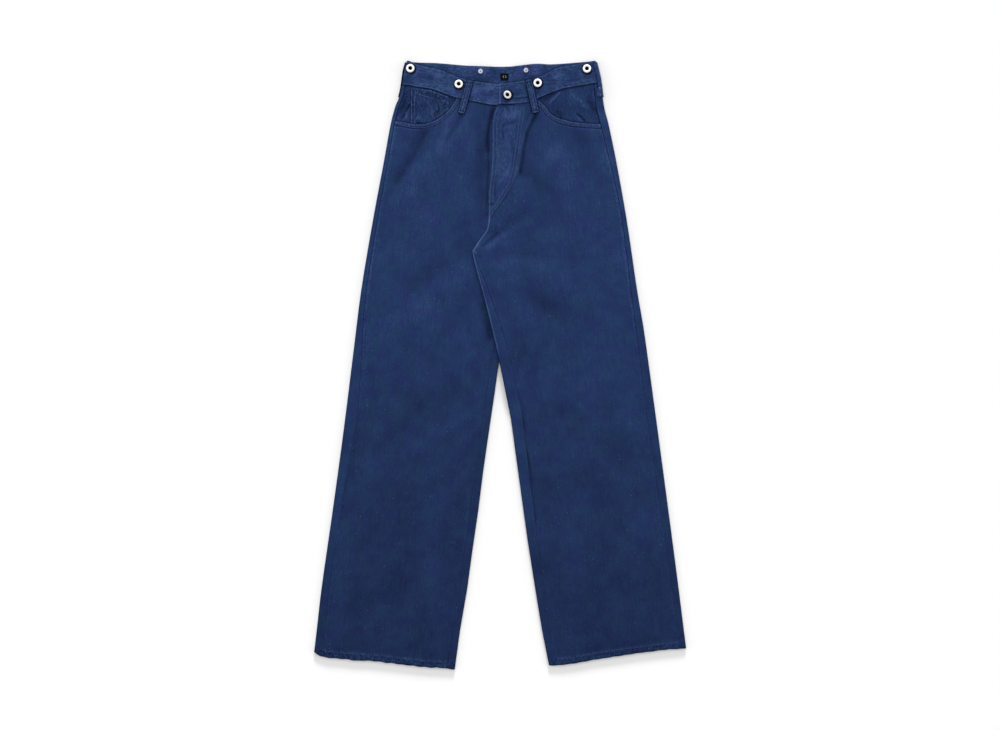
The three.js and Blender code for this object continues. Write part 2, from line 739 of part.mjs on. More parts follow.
function frontPanel(side) {
  const { frontInner, frontInnerTop, openingCorner, hemLine } = SIDES[side];
  const form = legForm(side);
  const topEnd = { x: frontInnerTop, y: frontTopLine(side, frontInnerTop) };
  const startOf = (row) => {
    const { width, lipOuter } = rowSizes(side, form, row);
    return form.place((lipOuter + SEAM_GAP) / width, row);
  };
  const endOf = (row) => {
    const { width, lipInner, wrapped } = rowSizes(side, form, row);
    if (wrapped) return form.place(1 - (lipInner + SEAM_GAP) / width, row);
    const y = lerp(topEnd.y, CROTCH.y, (row - form.pocketRow) / (form.crotchRow - form.pocketRow));
    return { x: frontInner(y), y };
  };
  const topStart = startOf(form.pocketRow);
  const hemStart = startOf(1);
  const hemEnd = endOf(1);
  const columns = stretches([
    { to: (openingCorner.x - topStart.x) / (topEnd.x - topStart.x), steps: 7 },
    { to: 1, steps: 8 },
  ]);
  const rows = form.rows.filter((row) => row >= form.pocketRow);
  const outside = rows.map((row) => {
    const start = startOf(row);
    const end = endOf(row);
    const below = (row - form.pocketRow) / (1 - form.pocketRow);
    return columns.map((across, k) => {
      const topX = lerp(topStart.x, topEnd.x, across);
      const hemX = lerp(hemStart.x, hemEnd.x, across);
      const topBow = frontTopLine(side, topX) - lerp(topStart.y, topEnd.y, across);
      const hemBow = hemLine(hemX) - lerp(hemStart.y, hemEnd.y, across);
      const onSeam = k === 0 || k === columns.length - 1;
      const bow = onSeam ? 0 : topBow * (1 - below) ** 5 + hemBow * below ** 6;
      const x = lerp(start.x, end.x, across);
      const y = lerp(start.y, end.y, across) + bow;
      return new THREE.Vector3(x, y, frontTop(side, x, y));
    });
  });
  return wallBelow(outside, CLOTH);
}

// One waistband half: from the fly end along the front, round the side, to the centre back.
function waistband(side) {
  const { inward, outerEdge, frontBandTop, frontBandBottom, bandSideBottom } = SIDES[side];
  const { bandFrontEnd, bandFrontColumn, bandBackEnd } = SIDES[side];
  const r = BAND_RADIUS;
  const outside = [];
  const inside = [];
  for (const share of [0, 0.34, 0.67, 1]) {
    const sideY = lerp(bandSideBottom, BAND_TOP_AT_SIDE, share);
    const edge = outerEdge(sideY) + inward * FOLD_GAP;
    const turnStart = edge + inward * r;
    const nearEdge = edge + inward * SIDE_LOOP_INSET;
    const outsideRow = [];
    const insideRow = [];
    const add = (x, y, z, turn) => {
      const inner = [x + inward * BAND_CLOTH * Math.sin(turn), y, z - BAND_CLOTH * Math.cos(turn)];
      outsideRow.push(new THREE.Vector3(x, y, z));
      insideRow.push(new THREE.Vector3(...inner));
    };
    const frontColumns = stretches([
      { to: (bandFrontColumn - bandFrontEnd) / (nearEdge - bandFrontEnd), steps: 2 },
      { to: 1, steps: 12 },
    ]);
    frontColumns.forEach((along) => {
      const x = lerp(bandFrontEnd, nearEdge, along);
      const y = lerp(frontBandBottom(x), frontBandTop(x), share);
      add(x, y, bandTop(side, x, y), 0);
    });
    for (const angle of [0, 45, 90, 135, 180]) {
      const turn = degToRad(angle);
      const x = turnStart - inward * r * Math.sin(turn);
      add(x, sideY, r + r * Math.cos(turn) + floorLift(edge, sideY), turn);
    }
    const backSteps = 14;
    for (let k = 0; k <= backSteps; k += 1) {
      const x = lerp(nearEdge, bandBackEnd, k / backSteps);
      const y = lerp(backBandBottom(x), backBandTop(x), share);
      add(x, y, floorLift(x, y), Math.PI);
    }
    outside.push(outsideRow);
    inside.push(insideRow);
  }
  return wall(outside, inside);
}

// A piece whose top lies on the given face, between two ends and two lines.
function laidPiece({ ends, steps, upper, lower, rows, face, cloth }) {
  const outside = [];
  for (let i = 0; i <= rows; i += 1) {
    const row = [];
    for (let k = 0; k <= steps; k += 1) {
      const x = lerp(...ends, k / steps);
      const y = lerp(upper(x), lower(x), i / rows);
      row.push(new THREE.Vector3(x, y, face(x, y)));
    }
    outside.push(row);
  }
  return wallBelow(outside, cloth);
}

function pocketFacing(side) {
  const { inward, outerEdge, lipOuter, frontBandBottom, opening, openingSide } = SIDES[side];
  const { bandSideBottom, facingInner } = SIDES[side];
  const steps = 9;
  const rows = 6;
  const outside = [];
  for (let i = 0; i <= rows; i += 1) {
    const sideY = lerp(bandSideBottom, openingSide - POCKET_MARGIN, i / rows);
    const sideX = outerEdge(sideY) + inward * (lipOuter(sideY) + 3 * SEAM_GAP);
    const row = [];
    for (let k = 0; k <= steps; k += 1) {
      const x = lerp(sideX, facingInner, k / steps);
      const y = lerp(frontBandBottom(x) - SEAM_GAP, opening(x) - POCKET_MARGIN, i / rows);
      row.push(new THREE.Vector3(x, y, facingTop(side, x, y)));
    }
    outside.push(row);
  }
  return wallBelow(outside, FACING_CLOTH);
}

function coinPocket() {
  return laidPiece({
    ends: [COIN_LEFT, COIN_RIGHT],
    steps: 6,
    upper: (x) => SIDES.right.frontBandBottom(x) - COIN_BELOW_BAND,
    lower: (x) => SIDES.right.opening(x) - COIN_REACH_UNDER,
    rows: 4,
    face: (x, y) => facingTop('right', x, y) + COIN_GAP + COIN_CLOTH,
    cloth: COIN_CLOTH,
  });
}

// Highest face of the front at a place, across the waistband seam.
function frontFace(x, y) {
  const side = x < SIDES.left.bandFrontEnd ? 'right' : 'left';
  const panel = frontTop(side, x, y);
  const onBand = y > SIDES[side].frontBandBottom(x) - LOOP_OVER_SEAM;
  return onBand ? Math.max(bandTop(side, x, y), panel) : panel;
}

function frontLoop({ x1, y1, x2, y2 }) {
  const steps = 9;
  const along = new THREE.Vector2(x2 - x1, y2 - y1).normalize();
  const outside = [];
  for (let i = 0; i <= steps; i += 1) {
    const t = i / steps;
    const places = [-0.5, 0, 0.5].map((edge) => ({
      x: lerp(x1, x2, t) - along.y * edge * LOOP_WIDTH,
      y: lerp(y1, y2, t) + along.x * edge * LOOP_WIDTH,
    }));
    const base = Math.max(...places.map(({ x, y }) => frontFace(x, y)));
    const arch = LOOP_ARCH * Math.sin(Math.PI * t) ** 0.6;
    outside.push(places.map(({ x, y }) => new THREE.Vector3(x, y, base + SEAM_GAP + arch + LOOP_CLOTH)));
  }
  return wallBelow(outside, LOOP_CLOTH);
}

// A loop folded round the side edge of the band, on the front where it shows and under the back.
function sideLoop(side) {
  const { inward, outerEdge } = SIDES[side];
  const { reach, angles } = SIDES[side].sideLoop;
  const steps = 6;
  const r = SIDE_LOOP_LIFT + BAND_RADIUS;
  const outside = [];
  const inside = [];
  for (let i = 0; i <= steps; i += 1) {
    const y = SIDE_LOOP_TOP - (LOOP_LENGTH * i) / steps;
    const edge = outerEdge(y) - inward * (SIDE_LOOP_LIFT + FOLD_GAP);
    const end = edge + inward * (reach + SIDE_LOOP_LIFT);
    const section = angles.map((angle) => {
      const turn = degToRad(angle);
      return { x: edge + inward * r * (1 - Math.sin(turn)), turn };
    });
    if (angles[0] === 0) section.unshift({ x: end, turn: 0 });
    section.push({ x: end, turn: Math.PI });
    outside.push(section.map(({ x, turn }) => new THREE.Vector3(x, y, r + r * Math.cos(turn))));
    inside.push(section.map(({ x, turn }) => {
      const innerX = x + inward * LOOP_CLOTH * Math.sin(turn);
      return new THREE.Vector3(innerX, y, r + (r - LOOP_CLOTH) * Math.cos(turn));
    }));
  }
  return wall(outside, inside);
}

// Turns a profile, given as shares of a radius and a height, about +Z.
function turned(profile, radius, height, sides) {
  const points = profile.map((row) => new THREE.Vector2(row.radius * radius, row.height * height));
  return new THREE.LatheGeometry(points, sides).rotateX(Math.PI / 2);
}

// Ring button: a domed rim round a sunk centre.
const BUTTON_PROFILE = [
  { radius: 0, height: 0 },
  { radius: 0.78, height: 0 },
  { radius: 0.97, height: 0.22 },
  { radius: 1, height: 0.5 },
  { radius: 0.9, height: 0.84 },
  { radius: 0.7, height: 1 },
  { radius: 0.5, height: 0.88 },
  { radius: 0.36, height: 0.52 },
  { radius: 0, height: 0.44 },
];
const RIVET_PROFILE = [
  { radius: 0, height: 0 },
  { radius: 1, height: 0 },
  { radius: 1, height: 0.45 },
  { radius: 0.72, height: 0.95 },
  { radius: 0.3, height: 1 },
  { radius: 0, height: 0.75 },
];

// Highest place of the band under a button.
function buttonSeat(side, x, y) {
  const rim = stretches([{ to: 2 * Math.PI, steps: 12 }]);
  const heights = rim.map((turn) => {
    return bandTop(side, x + BUTTON_RADIUS * Math.cos(turn), y + BUTTON_RADIUS * Math.sin(turn));
  });
  return Math.max(bandTop(side, x, y), ...heights);
}

// A tilted button stands on the low side of its foot, with the high side up and to the wearer's left.
const TILT_AXIS = new THREE.Vector3(1, -1, 0).normalize();

function raisedByTilt(tilt) {
  return Math.max(...BUTTON_PROFILE.map(({ radius, height }) => {
    return radius * BUTTON_RADIUS * Math.sin(tilt) - height * BUTTON_HEIGHT * Math.cos(tilt);
  }));
}

function material(color, roughness, metalness = 0) {
  return new THREE.MeshStandardMaterial({ color, roughness, metalness });
}

const trousers = new THREE.Group();

function addPiece(name, geometry, look) {
  const mesh = new THREE.Mesh(geometry, look);
  mesh.name = name;
  trousers.add(mesh);
  return mesh;
}

for (const side of ['right', 'left']) {
  addPiece(`back_panel_${side}`, backPanel(side), material(0x26385e, 0.9));
  addPiece(`front_panel_${side}`, frontPanel(side), material(0x273862, 0.9));
  addPiece(`waistband_${side}`, waistband(side), material(0x32436d, 0.9));
  addPiece(`pocket_facing_${side}`, pocketFacing(side), material(0x26365e, 0.9));
  addPiece(`belt_loop_side_${side}`, sideLoop(side), material(0x2a3861, 0.9));
}
addPiece('coin_pocket', coinPocket(), material(0x26365e, 0.9));
for (const loop of FRONT_LOOPS) {
  addPiece(loop.name, frontLoop(loop), material(0x2a3861, 0.9));
}

for (const { name, side, x, y, tilt } of FRONT_BUTTONS) {
  const geometry = turned(BUTTON_PROFILE, BUTTON_RADIUS, BUTTON_HEIGHT, 16);
  const button = addPiece(name, geometry, material(0xf1f0ec, 0.35));
  button.position.set(x, y, buttonSeat(side, x, y) + SEAM_GAP + raisedByTilt(tilt));
  button.quaternion.setFromAxisAngle(TILT_AXIS, tilt);
}
for (const { side, x, y } of BACK_BUTTONS) {
  const geometry = turned(BUTTON_PROFILE, BUTTON_RADIUS, BUTTON_HEIGHT, 16);
  const button = addPiece(`button_back_${side}`, geometry, material(0xf1f0ec, 0.35));
  button.position.set(x, y, BUTTON_HEIGHT);
  button.rotation.x = Math.PI;
  const rivetGeometry = turned(RIVET_PROFILE, RIVET_RADIUS, RIVET_HEIGHT, 12);
  const rivet = addPiece(`rivet_back_${side}`, rivetGeometry, material(0xc4c8ce, 0.35, 0.9));
  rivet.position.set(x, y, backBandInside(x, y) + SEAM_GAP);
}

const tab = laidPiece({
  ends: [TAB.x - TAB.width / 2, TAB.x + TAB.width / 2],
  steps: 4,
  upper: () => TAB.y + TAB.height / 2,
  lower: () => TAB.y - TAB.height / 2,
  rows: 3,
  face: (x, y) => backBandInside(x, y) + SEAM_GAP + TAB.thickness,
  cloth: TAB.thickness,
});
addPiece('size_tab', tab, material(0x17181c, 0.8));

export default trousers;
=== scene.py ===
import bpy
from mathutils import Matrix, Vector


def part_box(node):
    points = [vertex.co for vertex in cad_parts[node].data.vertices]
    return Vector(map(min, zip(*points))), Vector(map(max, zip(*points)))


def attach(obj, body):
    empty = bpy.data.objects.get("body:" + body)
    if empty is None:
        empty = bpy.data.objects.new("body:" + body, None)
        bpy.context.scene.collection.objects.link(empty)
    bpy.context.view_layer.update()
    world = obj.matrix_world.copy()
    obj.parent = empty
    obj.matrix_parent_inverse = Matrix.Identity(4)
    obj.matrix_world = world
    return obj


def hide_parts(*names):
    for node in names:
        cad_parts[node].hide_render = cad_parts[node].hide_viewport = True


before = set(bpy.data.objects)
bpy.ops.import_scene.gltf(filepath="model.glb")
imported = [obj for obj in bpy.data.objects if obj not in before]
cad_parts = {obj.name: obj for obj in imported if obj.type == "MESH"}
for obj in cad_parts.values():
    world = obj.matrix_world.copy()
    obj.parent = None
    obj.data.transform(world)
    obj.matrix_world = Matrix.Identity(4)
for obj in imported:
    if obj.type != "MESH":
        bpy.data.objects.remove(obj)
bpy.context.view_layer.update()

import math

import bmesh
import bpy
import numpy as np
from mathutils import Matrix, Vector
from mathutils.bvhtree import BVHTree

# Trousers laid flat, front up. Sizes are in millimetres until a mesh is made, and then in metres.
# +X to the wearer's left, +Y to the waist, +Z up from the surface they lie on.
MM = 0.001
rng = np.random.default_rng(7)


def put(name, data):
    """An object with the given data, in the scene."""
    made = bpy.data.objects.new(name, data)
    bpy.context.scene.collection.objects.link(made)
    return made


# Camera: straight above the picture's middle, with a long lens.
FIELD_WIDTH = 1.75
LENS = 85
SENSOR = 36
CAMERA_HEIGHT = FIELD_WIDTH * LENS / SENSOR + 0.006
camera_data = bpy.data.cameras.new("camera")
camera_data.lens = LENS
camera_data.sensor_width = SENSOR
camera_data.clip_end = 50
camera = put("camera", camera_data)
camera.location = (0, -0.0004, CAMERA_HEIGHT)
bpy.context.scene.camera = camera
bpy.context.scene.view_settings.view_transform = "Standard"

# Cloth walls, the gaps between pieces, and how far scene pieces close a seam's gap.
CLOTH = 1.2
BAND_CLOTH = 2
FACING_CLOTH = 1
LOOP_CLOTH = 1.4
COIN_CLOTH = 0.9
SEAM_GAP = 0.3
SEAM_CLOSING = 0.12
FOLD_GAP = 0.3

# Heights of the laid layers. A lift is a rise over what lies under, and a fall is how far out it eases away.
EDGE_HEIGHT = 4.4
BAND_HEIGHT = 5.4
EDGE_RADIUS = EDGE_HEIGHT / 2
BAND_RADIUS = BAND_HEIGHT / 2
FLY_TOP = 453.9
CROTCH = (-49, 199.1)
CROSSED_LEG_LIFT = EDGE_HEIGHT + SEAM_GAP
CROSSED_LEG_MARGIN = 12
CROSSED_LEG_FALL = 38
FLY_LIFT = CLOTH + SEAM_GAP
FLY_FALL = 14
FLY_FLAT = 6
FLY_MARGIN = 1.5
BAND_FLY_LIFT = BAND_CLOTH + SEAM_GAP
POCKET_LIFT = 1.6
POCKET_FALL = 26
POCKET_MARGIN = 9
FACING_DIP = 1.3
PUFF = 2.6
PUFF_RISE = 42
RISE_AT_WAIST = 8
RISE_AT_HEM = 10
HEM_WIDTH = 12
HEM_LIFT = 0.8
HEM_FALL = 3
BUTTON_RADIUS = 7.8
BUTTON_HEIGHT = 3.2
BACK_BUTTON_LIFT = BUTTON_HEIGHT + 2 * SEAM_GAP
BACK_BUTTON_MARGIN = 3
BACK_BUTTON_FALL = 19
SIDE_LOOP_TOP = 529.5
SIDE_LOOP_LIFT = LOOP_CLOTH + SEAM_GAP
SIDE_LOOP_INSET = 11
SIDE_LOOP_FALL = 14
LOOP_LENGTH = 61
LOOP_WIDTH = 12
LOOP_ARCH = 1.6
LOOP_OVER_SEAM = 4
BAND_TOP_AT_SIDE = 532
BAND_WIDTH = 36
FACING_SINK = 0.1
UNWRAPPED_END = 3
COIN_GAP = 0.5
COIN_REACH_UNDER = 4
HEM_BUMP_REACH = 9
FAR_OFF = 9

# The lower leg lies below this height, and its looks ease in over the length above it.
LOW_LEG = -100
LOW_LEG_FALL = 220

# How wide and how deep a turned edge rolls down, and the share of it that is left where a seam lies flat.
PANEL_ROLL = (1.4, 0.5)
WAIST_ROLL = (1.2, 0.5)
BAND_RIM_ROLL = (1.2, 0.8)
BAND_END_ROLL = (1.2, 0.7)
LOOP_END_ROLL = (1.2, 0.6)
TAPE_ROLL = (0.7, 0.4)
FLAT_SEAM = 0.3

# Grid of each sheet: faces across and along.
FRONT_GRID = (100, 400)
BACK_GRID = (72, 300)
BAND_GRID = (200, 40)
FACING_GRID = (60, 48)
COIN_GRID = (48, 44)
LOOP_GRID = (16, 60)
SIDE_LOOP_GRID = (26, 48)
TAPE_GRID = (24, 24)

# Bands beside an edge: distance from it, width, and tone (above 0 is paler).
# They paint highlight on raised rims and folds and shade in the grooves beside them; the paler rims are
# partly rubbed.
OPENING_BANDS = [(2, 1.1, 0.3), (7.6, 1, -0.95), (9.6, 0.9, 0.3)]
COIN_EDGE_BANDS = [(1.6, 0.9, 0.3), (4.4, 0.9, -0.35)]
LOOP_EDGE_BANDS = [(6, 1.5, 0.45), (3, 1, -0.45), (1.5, 0.7, 0.15)]
LOOP_END_BANDS = [(1.7, 0.9, 0.6), (4, 1, -0.7)]

# Outlines: each row is a place (height y, or x on the waist, pocket and hem lines) and the value there.
OUTER_RIGHT = [(532.4, -163.4), (515, -168.4), (484, -173), (467, -177.2),
               (452.8, -183.2), (424.8, -190.8), (358.3, -203), (253.3, -222.6), (130.8, -243.1),
               (25.8, -256.4), (-114.2, -273.9), (-254.2, -293), (-394.2, -313), (-464.2, -321),
               (-503.6, -325.7)]
OUTER_LEFT = [(532.4, 167.6), (501.8, 175), (470, 179.4), (445.8, 183.6), (424.8, 189.3), (358.3, 203.3),
              (253.3, 222), (130.8, 240.2), (60.8, 252), (-79.2, 271.4), (-219.2, 290.2), (-359.2, 308.7),
              (-464.2, 322), (-496.2, 326)]
INNER_RIGHT = [(490, 9.35), (332, 7.5), (262, 1), (238, -9), (215, -28), (199.1, -49.15), (190, -28),
               (176, -9), (155, 4), (120, 11), (60, 8), (4.8, -1.8), (-17.9, -5.2), (-44.2, -8.7),
               (-114.2, -19.1), (-184.2, -29.2), (-254.2, -38), (-324.2, -48.2), (-394.2, -57.8),
               (-464.2, -70), (-532.9, -79.2)]
INNER_LEFT = [(490, 9.65), (332, 7.8), (262, 1.3), (238, -8.7), (215, -27.7), (199.1, -48.85),
              (178.1, -44.8), (111.6, -26.3), (32.8, -7), (-17.9, 3.5), (-96.7, 19.3), (-306.7, 48.2),
              (-411.7, 64.8), (-464.2, 73.5), (-526.2, 85.8)]
FLY_EDGE = [(458, -4.6), (454, -4.9), (448, -7.2), (438.8, -10.5), (424, -13.6), (378, -13.6),
            (340.8, -15.4), (302.3, -20), (251.6, -20.3), (235.8, -23.6), (214.8, -38.5), (199.1, -48.85)]
FLY_UNDERLAP = [(458, 30), (358.3, 22), (316.3, 14), (287.4, -3), (262, -13), (235.8, -20),
                (214.8, -37.5), (199.1, -49.6)]
LIP_OUTER_RIGHT = [(500, 6), (360, 7), (100, 10), (-80, 20), (-214, 15), (-530, 13)]
LIP_OUTER_LEFT = [(500, 12), (419, 14), (267, 8), (-40, 15), (-530, 10)]
LIP_INNER_RIGHT = [(192, 3.5), (120, 9), (0, 14), (-530, 13)]
LIP_INNER_LEFT = [(192, 3.5), (120, 12), (0, 20), (-250, 18), (-530, 13)]
FRONT_BAND_TOP_RIGHT = [(-163.4, 531.5), (-141.8, 525.1), (-103.3, 516.2), (-85.8, 509), (-57.8, 499.2),
                        (-1.8, 491.3), (20, 490.6)]
FRONT_BAND_BOTTOM_RIGHT = [(-173, 489), (-160, 488.9), (-145.3, 486.2), (-120.8, 482.7), (-85.8, 469.8),
                           (-56, 462.3), (-15.8, 454.6), (-5.5, 454), (7, 458), (20, 458)]
FRONT_BAND_TOP_LEFT = [(-1.8, 491.3), (35, 496.6), (52.5, 500.1), (78.8, 509), (96.3, 518.8),
                       (122.5, 524.6), (168, 531.5)]
FRONT_BAND_BOTTOM_LEFT = [(-1.8, 456.7), (10.5, 455.6), (52.5, 460), (78.8, 471.5), (112, 483.1),
                          (154, 490.6), (163, 492.3), (177, 492.4)]
BACK_BAND_TOP = [(-163.4, 532.2), (-154, 530), (-110.3, 528.5), (-56, 524), (-15.8, 522.4), (21, 522.8),
                 (66.5, 527.4), (89.3, 526.4), (145.3, 530.3), (168, 532.2)]
BACK_BAND_BOTTOM = [(-173, 489), (-110.3, 491), (-56, 487.5), (-15.8, 485.9), (21, 486.4), (66.5, 490.5),
                    (145.3, 492.4), (177, 492.4)]
OPENING_RIGHT = [(-187, 427.4), (-170.3, 425.2), (-152.3, 421.5), (-134.8, 421.5), (-117.3, 426),
                 (-103.3, 434.1), (-90, 445.8), (-77.5, 463.5)]
OPENING_LEFT = [(67.6, 464), (80.5, 451), (89.3, 439.3), (101.5, 432.1), (126, 425.6), (148.8, 423),
                (182, 421)]
HEM_RIGHT = [(-325.7, -503.6), (-315, -509.5), (-293, -513.6), (-251, -517.4), (-209, -520.1),
             (-167, -525.6), (-125, -529.6), (-79.2, -532.9)]
HEM_LEFT = [(85.8, -526.2), (112.9, -525.4), (155, -518.2), (197, -511.5), (239, -505.4), (281, -500),
            (326, -496.2)]

# Folds: start x and y, end x and y, width, height (below 0 is a trough).
FOLDS_RIGHT = [
    (-126, 414, -186, 318, 15, -2.4),
    (-98, 404, -160, 300, 20, 1.6),
    (-30, 446, -36, 288, 11, -2),
    (-58, 430, -62, 270, 16, 1),
    (-62, 196, -150, 132, 17, -1.8),
    (-60, 160, -196, 60, 22, 1.7),
    (-52, 120, -118, 10, 19, -1.9),
    (-222, -60, -256, -205, 13, -1.8),
    (-92, -60, -200, -150, 26, -1.6),
    (-110, -120, -226, -190, 24, 1.4),
    (-150, -190, -175, -400, 28, -1.5),
    (-118, -360, -110, -505, 16, 1.5),
    (-246, -330, -262, -495, 20, -1.4),
]
FOLDS_LEFT = [
    (60, 437, 40, 330, 11, -2.2),
    (22, 430, 6, 300, 14, 0.9),
    (84, 410, 92, 285, 22, 1.3),
    (128, 412, 172, 316, 17, -1.8),
    (-12, 222, 44, 262, 9, -1.6),
    (-8, 192, 70, 188, 12, -1.5),
    (48, 126, 122, 78, 24, -2.2),
    (62, 170, 170, 96, 24, 1.6),
    (30, 40, 74, -90, 18, -1.6),
    (214, 60, 226, -110, 20, 1.4),
    (110, -90, 210, -160, 26, -1.7),
    (160, -200, 190, -390, 28, -1.4),
    (128, -370, 120, -500, 16, 1.4),
    (262, -330, 272, -480, 18, -1.3),
]
# Finer creases, with tapered ends: start x and y, end x and y, width, height.
CREASES_RIGHT = [
    (-134, 410, -176, 344, 4, -0.5),
    (-120, 410, -150, 352, 5, 0.4),
    (-36, 440, -44, 330, 4, -0.4),
    (-20, 250, -66, 210, 4, -0.5),
    (-24, 268, -84, 236, 5, 0.35),
    (-44, 214, -104, 190, 4, -0.45),
    (-66, 180, -130, 150, 6, 0.4),
    (-90, 330, -96, 236, 8, 0.4),
    (-150, 290, -186, 200, 7, -0.4),
    (-176, 60, -206, -60, 8, 0.4),
    (-120, 20, -150, -100, 7, -0.35),
    (-210, -190, -240, -330, 7, -0.4),
    (-100, -250, -120, -380, 6, 0.35),
    (-180, -300, -196, -440, 8, -0.35),
    (-270, -380, -284, -490, 6, 0.35),
]
CREASES_LEFT = [
    (6, 430, 28, 424, 3, -0.6),
    (10, 417, 40, 420, 3, 0.35),
    (2, 396, 30, 392, 4, -0.3),
    (46, 436, 30, 372, 4, 0.35),
    (150, 400, 184, 330, 5, -0.4),
    (-16, 236, 28, 254, 4, -0.5),
    (-22, 206, 56, 216, 5, 0.35),
    (-36, 188, 16, 170, 4, -0.45),
    (10, 150, 70, 120, 7, 0.4),
    (96, 330, 110, 210, 8, -0.35),
    (150, 250, 178, 140, 8, 0.35),
    (60, 30, 96, -70, 7, 0.35),
    (190, -60, 206, -190, 7, -0.4),
    (100, -200, 116, -330, 7, -0.35),
    (230, -260, 250, -400, 7, 0.4),
    (150, -400, 156, -500, 6, -0.35),
]
# Narrow grooves and ridges along curved lines: the line, width, height, and how far it is paler or darker.
# Their tone is painted shade in the grooves and painted highlight on the ridges.
FLY_VALLEY = [(-10.5, 449), (-14.7, 440), (-16.6, 428), (-19.4, 418), (-21, 407), (-22, 390), (-21, 376)]
FLY_VALLEY_END = [(-20.6, 372), (-19.5, 358), (-20, 340), (-21.6, 323), (-22.6, 297), (-22.8, 262)]
J_GROOVE = [(62.5, 436), (53.5, 419), (47.4, 405), (44.5, 388), (41, 372), (38, 350), (35.5, 336)]
J_RIDGE = [(56, 438), (48.5, 420), (40.5, 398), (36, 378), (33.2, 356), (28, 332)]
MARKS_RIGHT = [
    (FLY_VALLEY, 4.2, -0.9, -0.85),
    (FLY_VALLEY_END, 2.2, -0.5, -0.55),
    ([(-6.4, 440), (-10, 424), (-12, 408)], 3, 0.2, 0.18),
    ([(-129.5, 409), (-146, 378), (-180, 322)], 7, -0.5, -0.3),
    ([(-88, 430), (-96, 404), (-108, 372)], 6, 0.3, 0.16),
    ([(-68, 437), (-76, 418), (-92, 398)], 4, -0.3, -0.28),
    ([(-32, 400), (-33, 330), (-30, 262)], 9, 0, -0.2),
    ([(-72, 425), (-84, 395), (-88, 372)], 15, 0, 0.13),
    ([(-246, -80), (-252, -133), (-272, -215), (-277, -272)], 3, -0.3, -0.2),
    ([(-56, -219), (-61, -341)], 3, 0.3, 0.2),
    ([(-29, 104), (-25, 84), (-18, 48)], 6, -0.3, -0.5),
    ([(-229, 62), (-240, -30)], 3, 0.2, 0.14),
]
MARKS_LEFT = [
    ([(19, 440), (8, 385), (1, 335)], 17, 0, 0.16),
    ([(51, 440), (46.4, 428)], 1.5, -0.3, -0.5),
    ([(20.3, 316), (12, 297), (3.5, 285), (-3.5, 274), (-15, 259)], 1.2, -0.3, -0.5),
    ([(-2.3, 376), (-8.4, 336)], 1.3, 0.3, 0.4),
    ([(-5.8, 370), (-9, 330), (-9.6, 297)], 1.3, -0.3, -0.5),
    (J_GROOVE, 2.8, -0.7, -0.62),
    (J_RIDGE, 2.4, 0.5, 0.3),
    ([(5.3, 418), (9.2, 421), (21.4, 423), (28.4, 428)], 1.7, -0.4, -0.7),
    ([(7, 438), (18, 434), (28, 440)], 5, 0.35, 0.22),
    ([(8.8, 446), (9.2, 434)], 1.3, 0.2, 0.35),
    ([(4.5, 412), (6, 397)], 1.4, -0.2, -0.5),
    ([(-4.2, 229.9), (-17.8, 219.2), (-29, 209.5)], 3.2, -0.5, -0.5),
    ([(6.5, 227), (-8.8, 215.3), (-22, 204)], 4.5, 0.3, 0.2),
    ([(-38, 210), (-43.5, 203), (-46, 196)], 2.6, 0.3, 0.4),
    ([(-40, 192), (-35, 189)], 2.4, -0.2, -0.35),
    ([(36, -80), (45.5, -155), (53.8, -212), (61.8, -274)], 3, -0.3, -0.4),
    ([(-15, 252), (0, 245)], 6, 0.3, 0.2),
    ([(-21.5, 281.5), (-11.5, 281.5)], 1.0, -0.4, -1.1),
    ([(56, 120), (96, 88)], 14, -0.4, -0.22),
    ([(30, -46), (41, -77), (41, -128), (52, -175), (54, -202)], 3, -0.4, -0.3),
    ([(62, 334), (74, 282), (70, 240)], 8, -0.2, -0.1),
    ([(47, 336), (70, 318), (98, 294)], 12, -0.3, -0.22),
    ([(92, 372), (108, 356), (116, 330)], 20, 0, 0.13),
    ([(138, 398), (146, 380), (150, 350)], 13, 0, -0.14),
    ([(20, 395), (23, 372), (34, 366)], 2.2, -0.2, -0.3),
    ([(18, 352), (13, 336), (2, 322)], 3, 0.25, 0.2),
]
FRONT_BUTTONS = [
    ("button_front_1", "right", -156.9, 518.6, 0),
    ("button_front_2", "right", -72.3, 491.4, 0),
    ("button_fly", "left", 13.3, 472.3, 0.6),
    ("button_front_3", "left", 65.9, 493.1, 0),
    ("button_front_4", "left", 152, 518.1, 0),
]
BACK_BUTTONS = [("right", -34.1, 513.5), ("left", 45.5, 515.5)]
FRONT_LOOPS = [("right", -52.2, 497.6, -68.1, 439.5), ("left", 49.9, 499, 62.8, 440.6)]
TAB = (7.8, 504.3, 14.6, 12.7, 0.8)
COIN_LEFT, COIN_RIGHT = -156.5, -89
COIN_BELOW_BAND = 1.8


def ease(t):
    s = np.clip(t, 0, 1)
    return s * s * (3 - 2 * s)


def nearness(distance, fall):
    """1 inside a form, easing to 0 over the given distance outside it."""
    return ease(1 - distance / fall)


def lerp(a, b, t):
    return a + (b - a) * t


def ridge(distance, width, at=0):
    """1 at the given distance, fading on both sides of it like a bell."""
    return np.exp(-(((distance - at) / width) ** 2))


def bands(distance, rows):
    """Bands beside an edge, from a table of distances from it, widths and strengths."""
    return sum(strength * ridge(distance, width, at) for at, width, strength in rows)


def straight(rows):
    """Straight lines from row to row of a table."""
    places, values = np.array(sorted(rows), float).T
    return lambda at: np.interp(at, places, values)


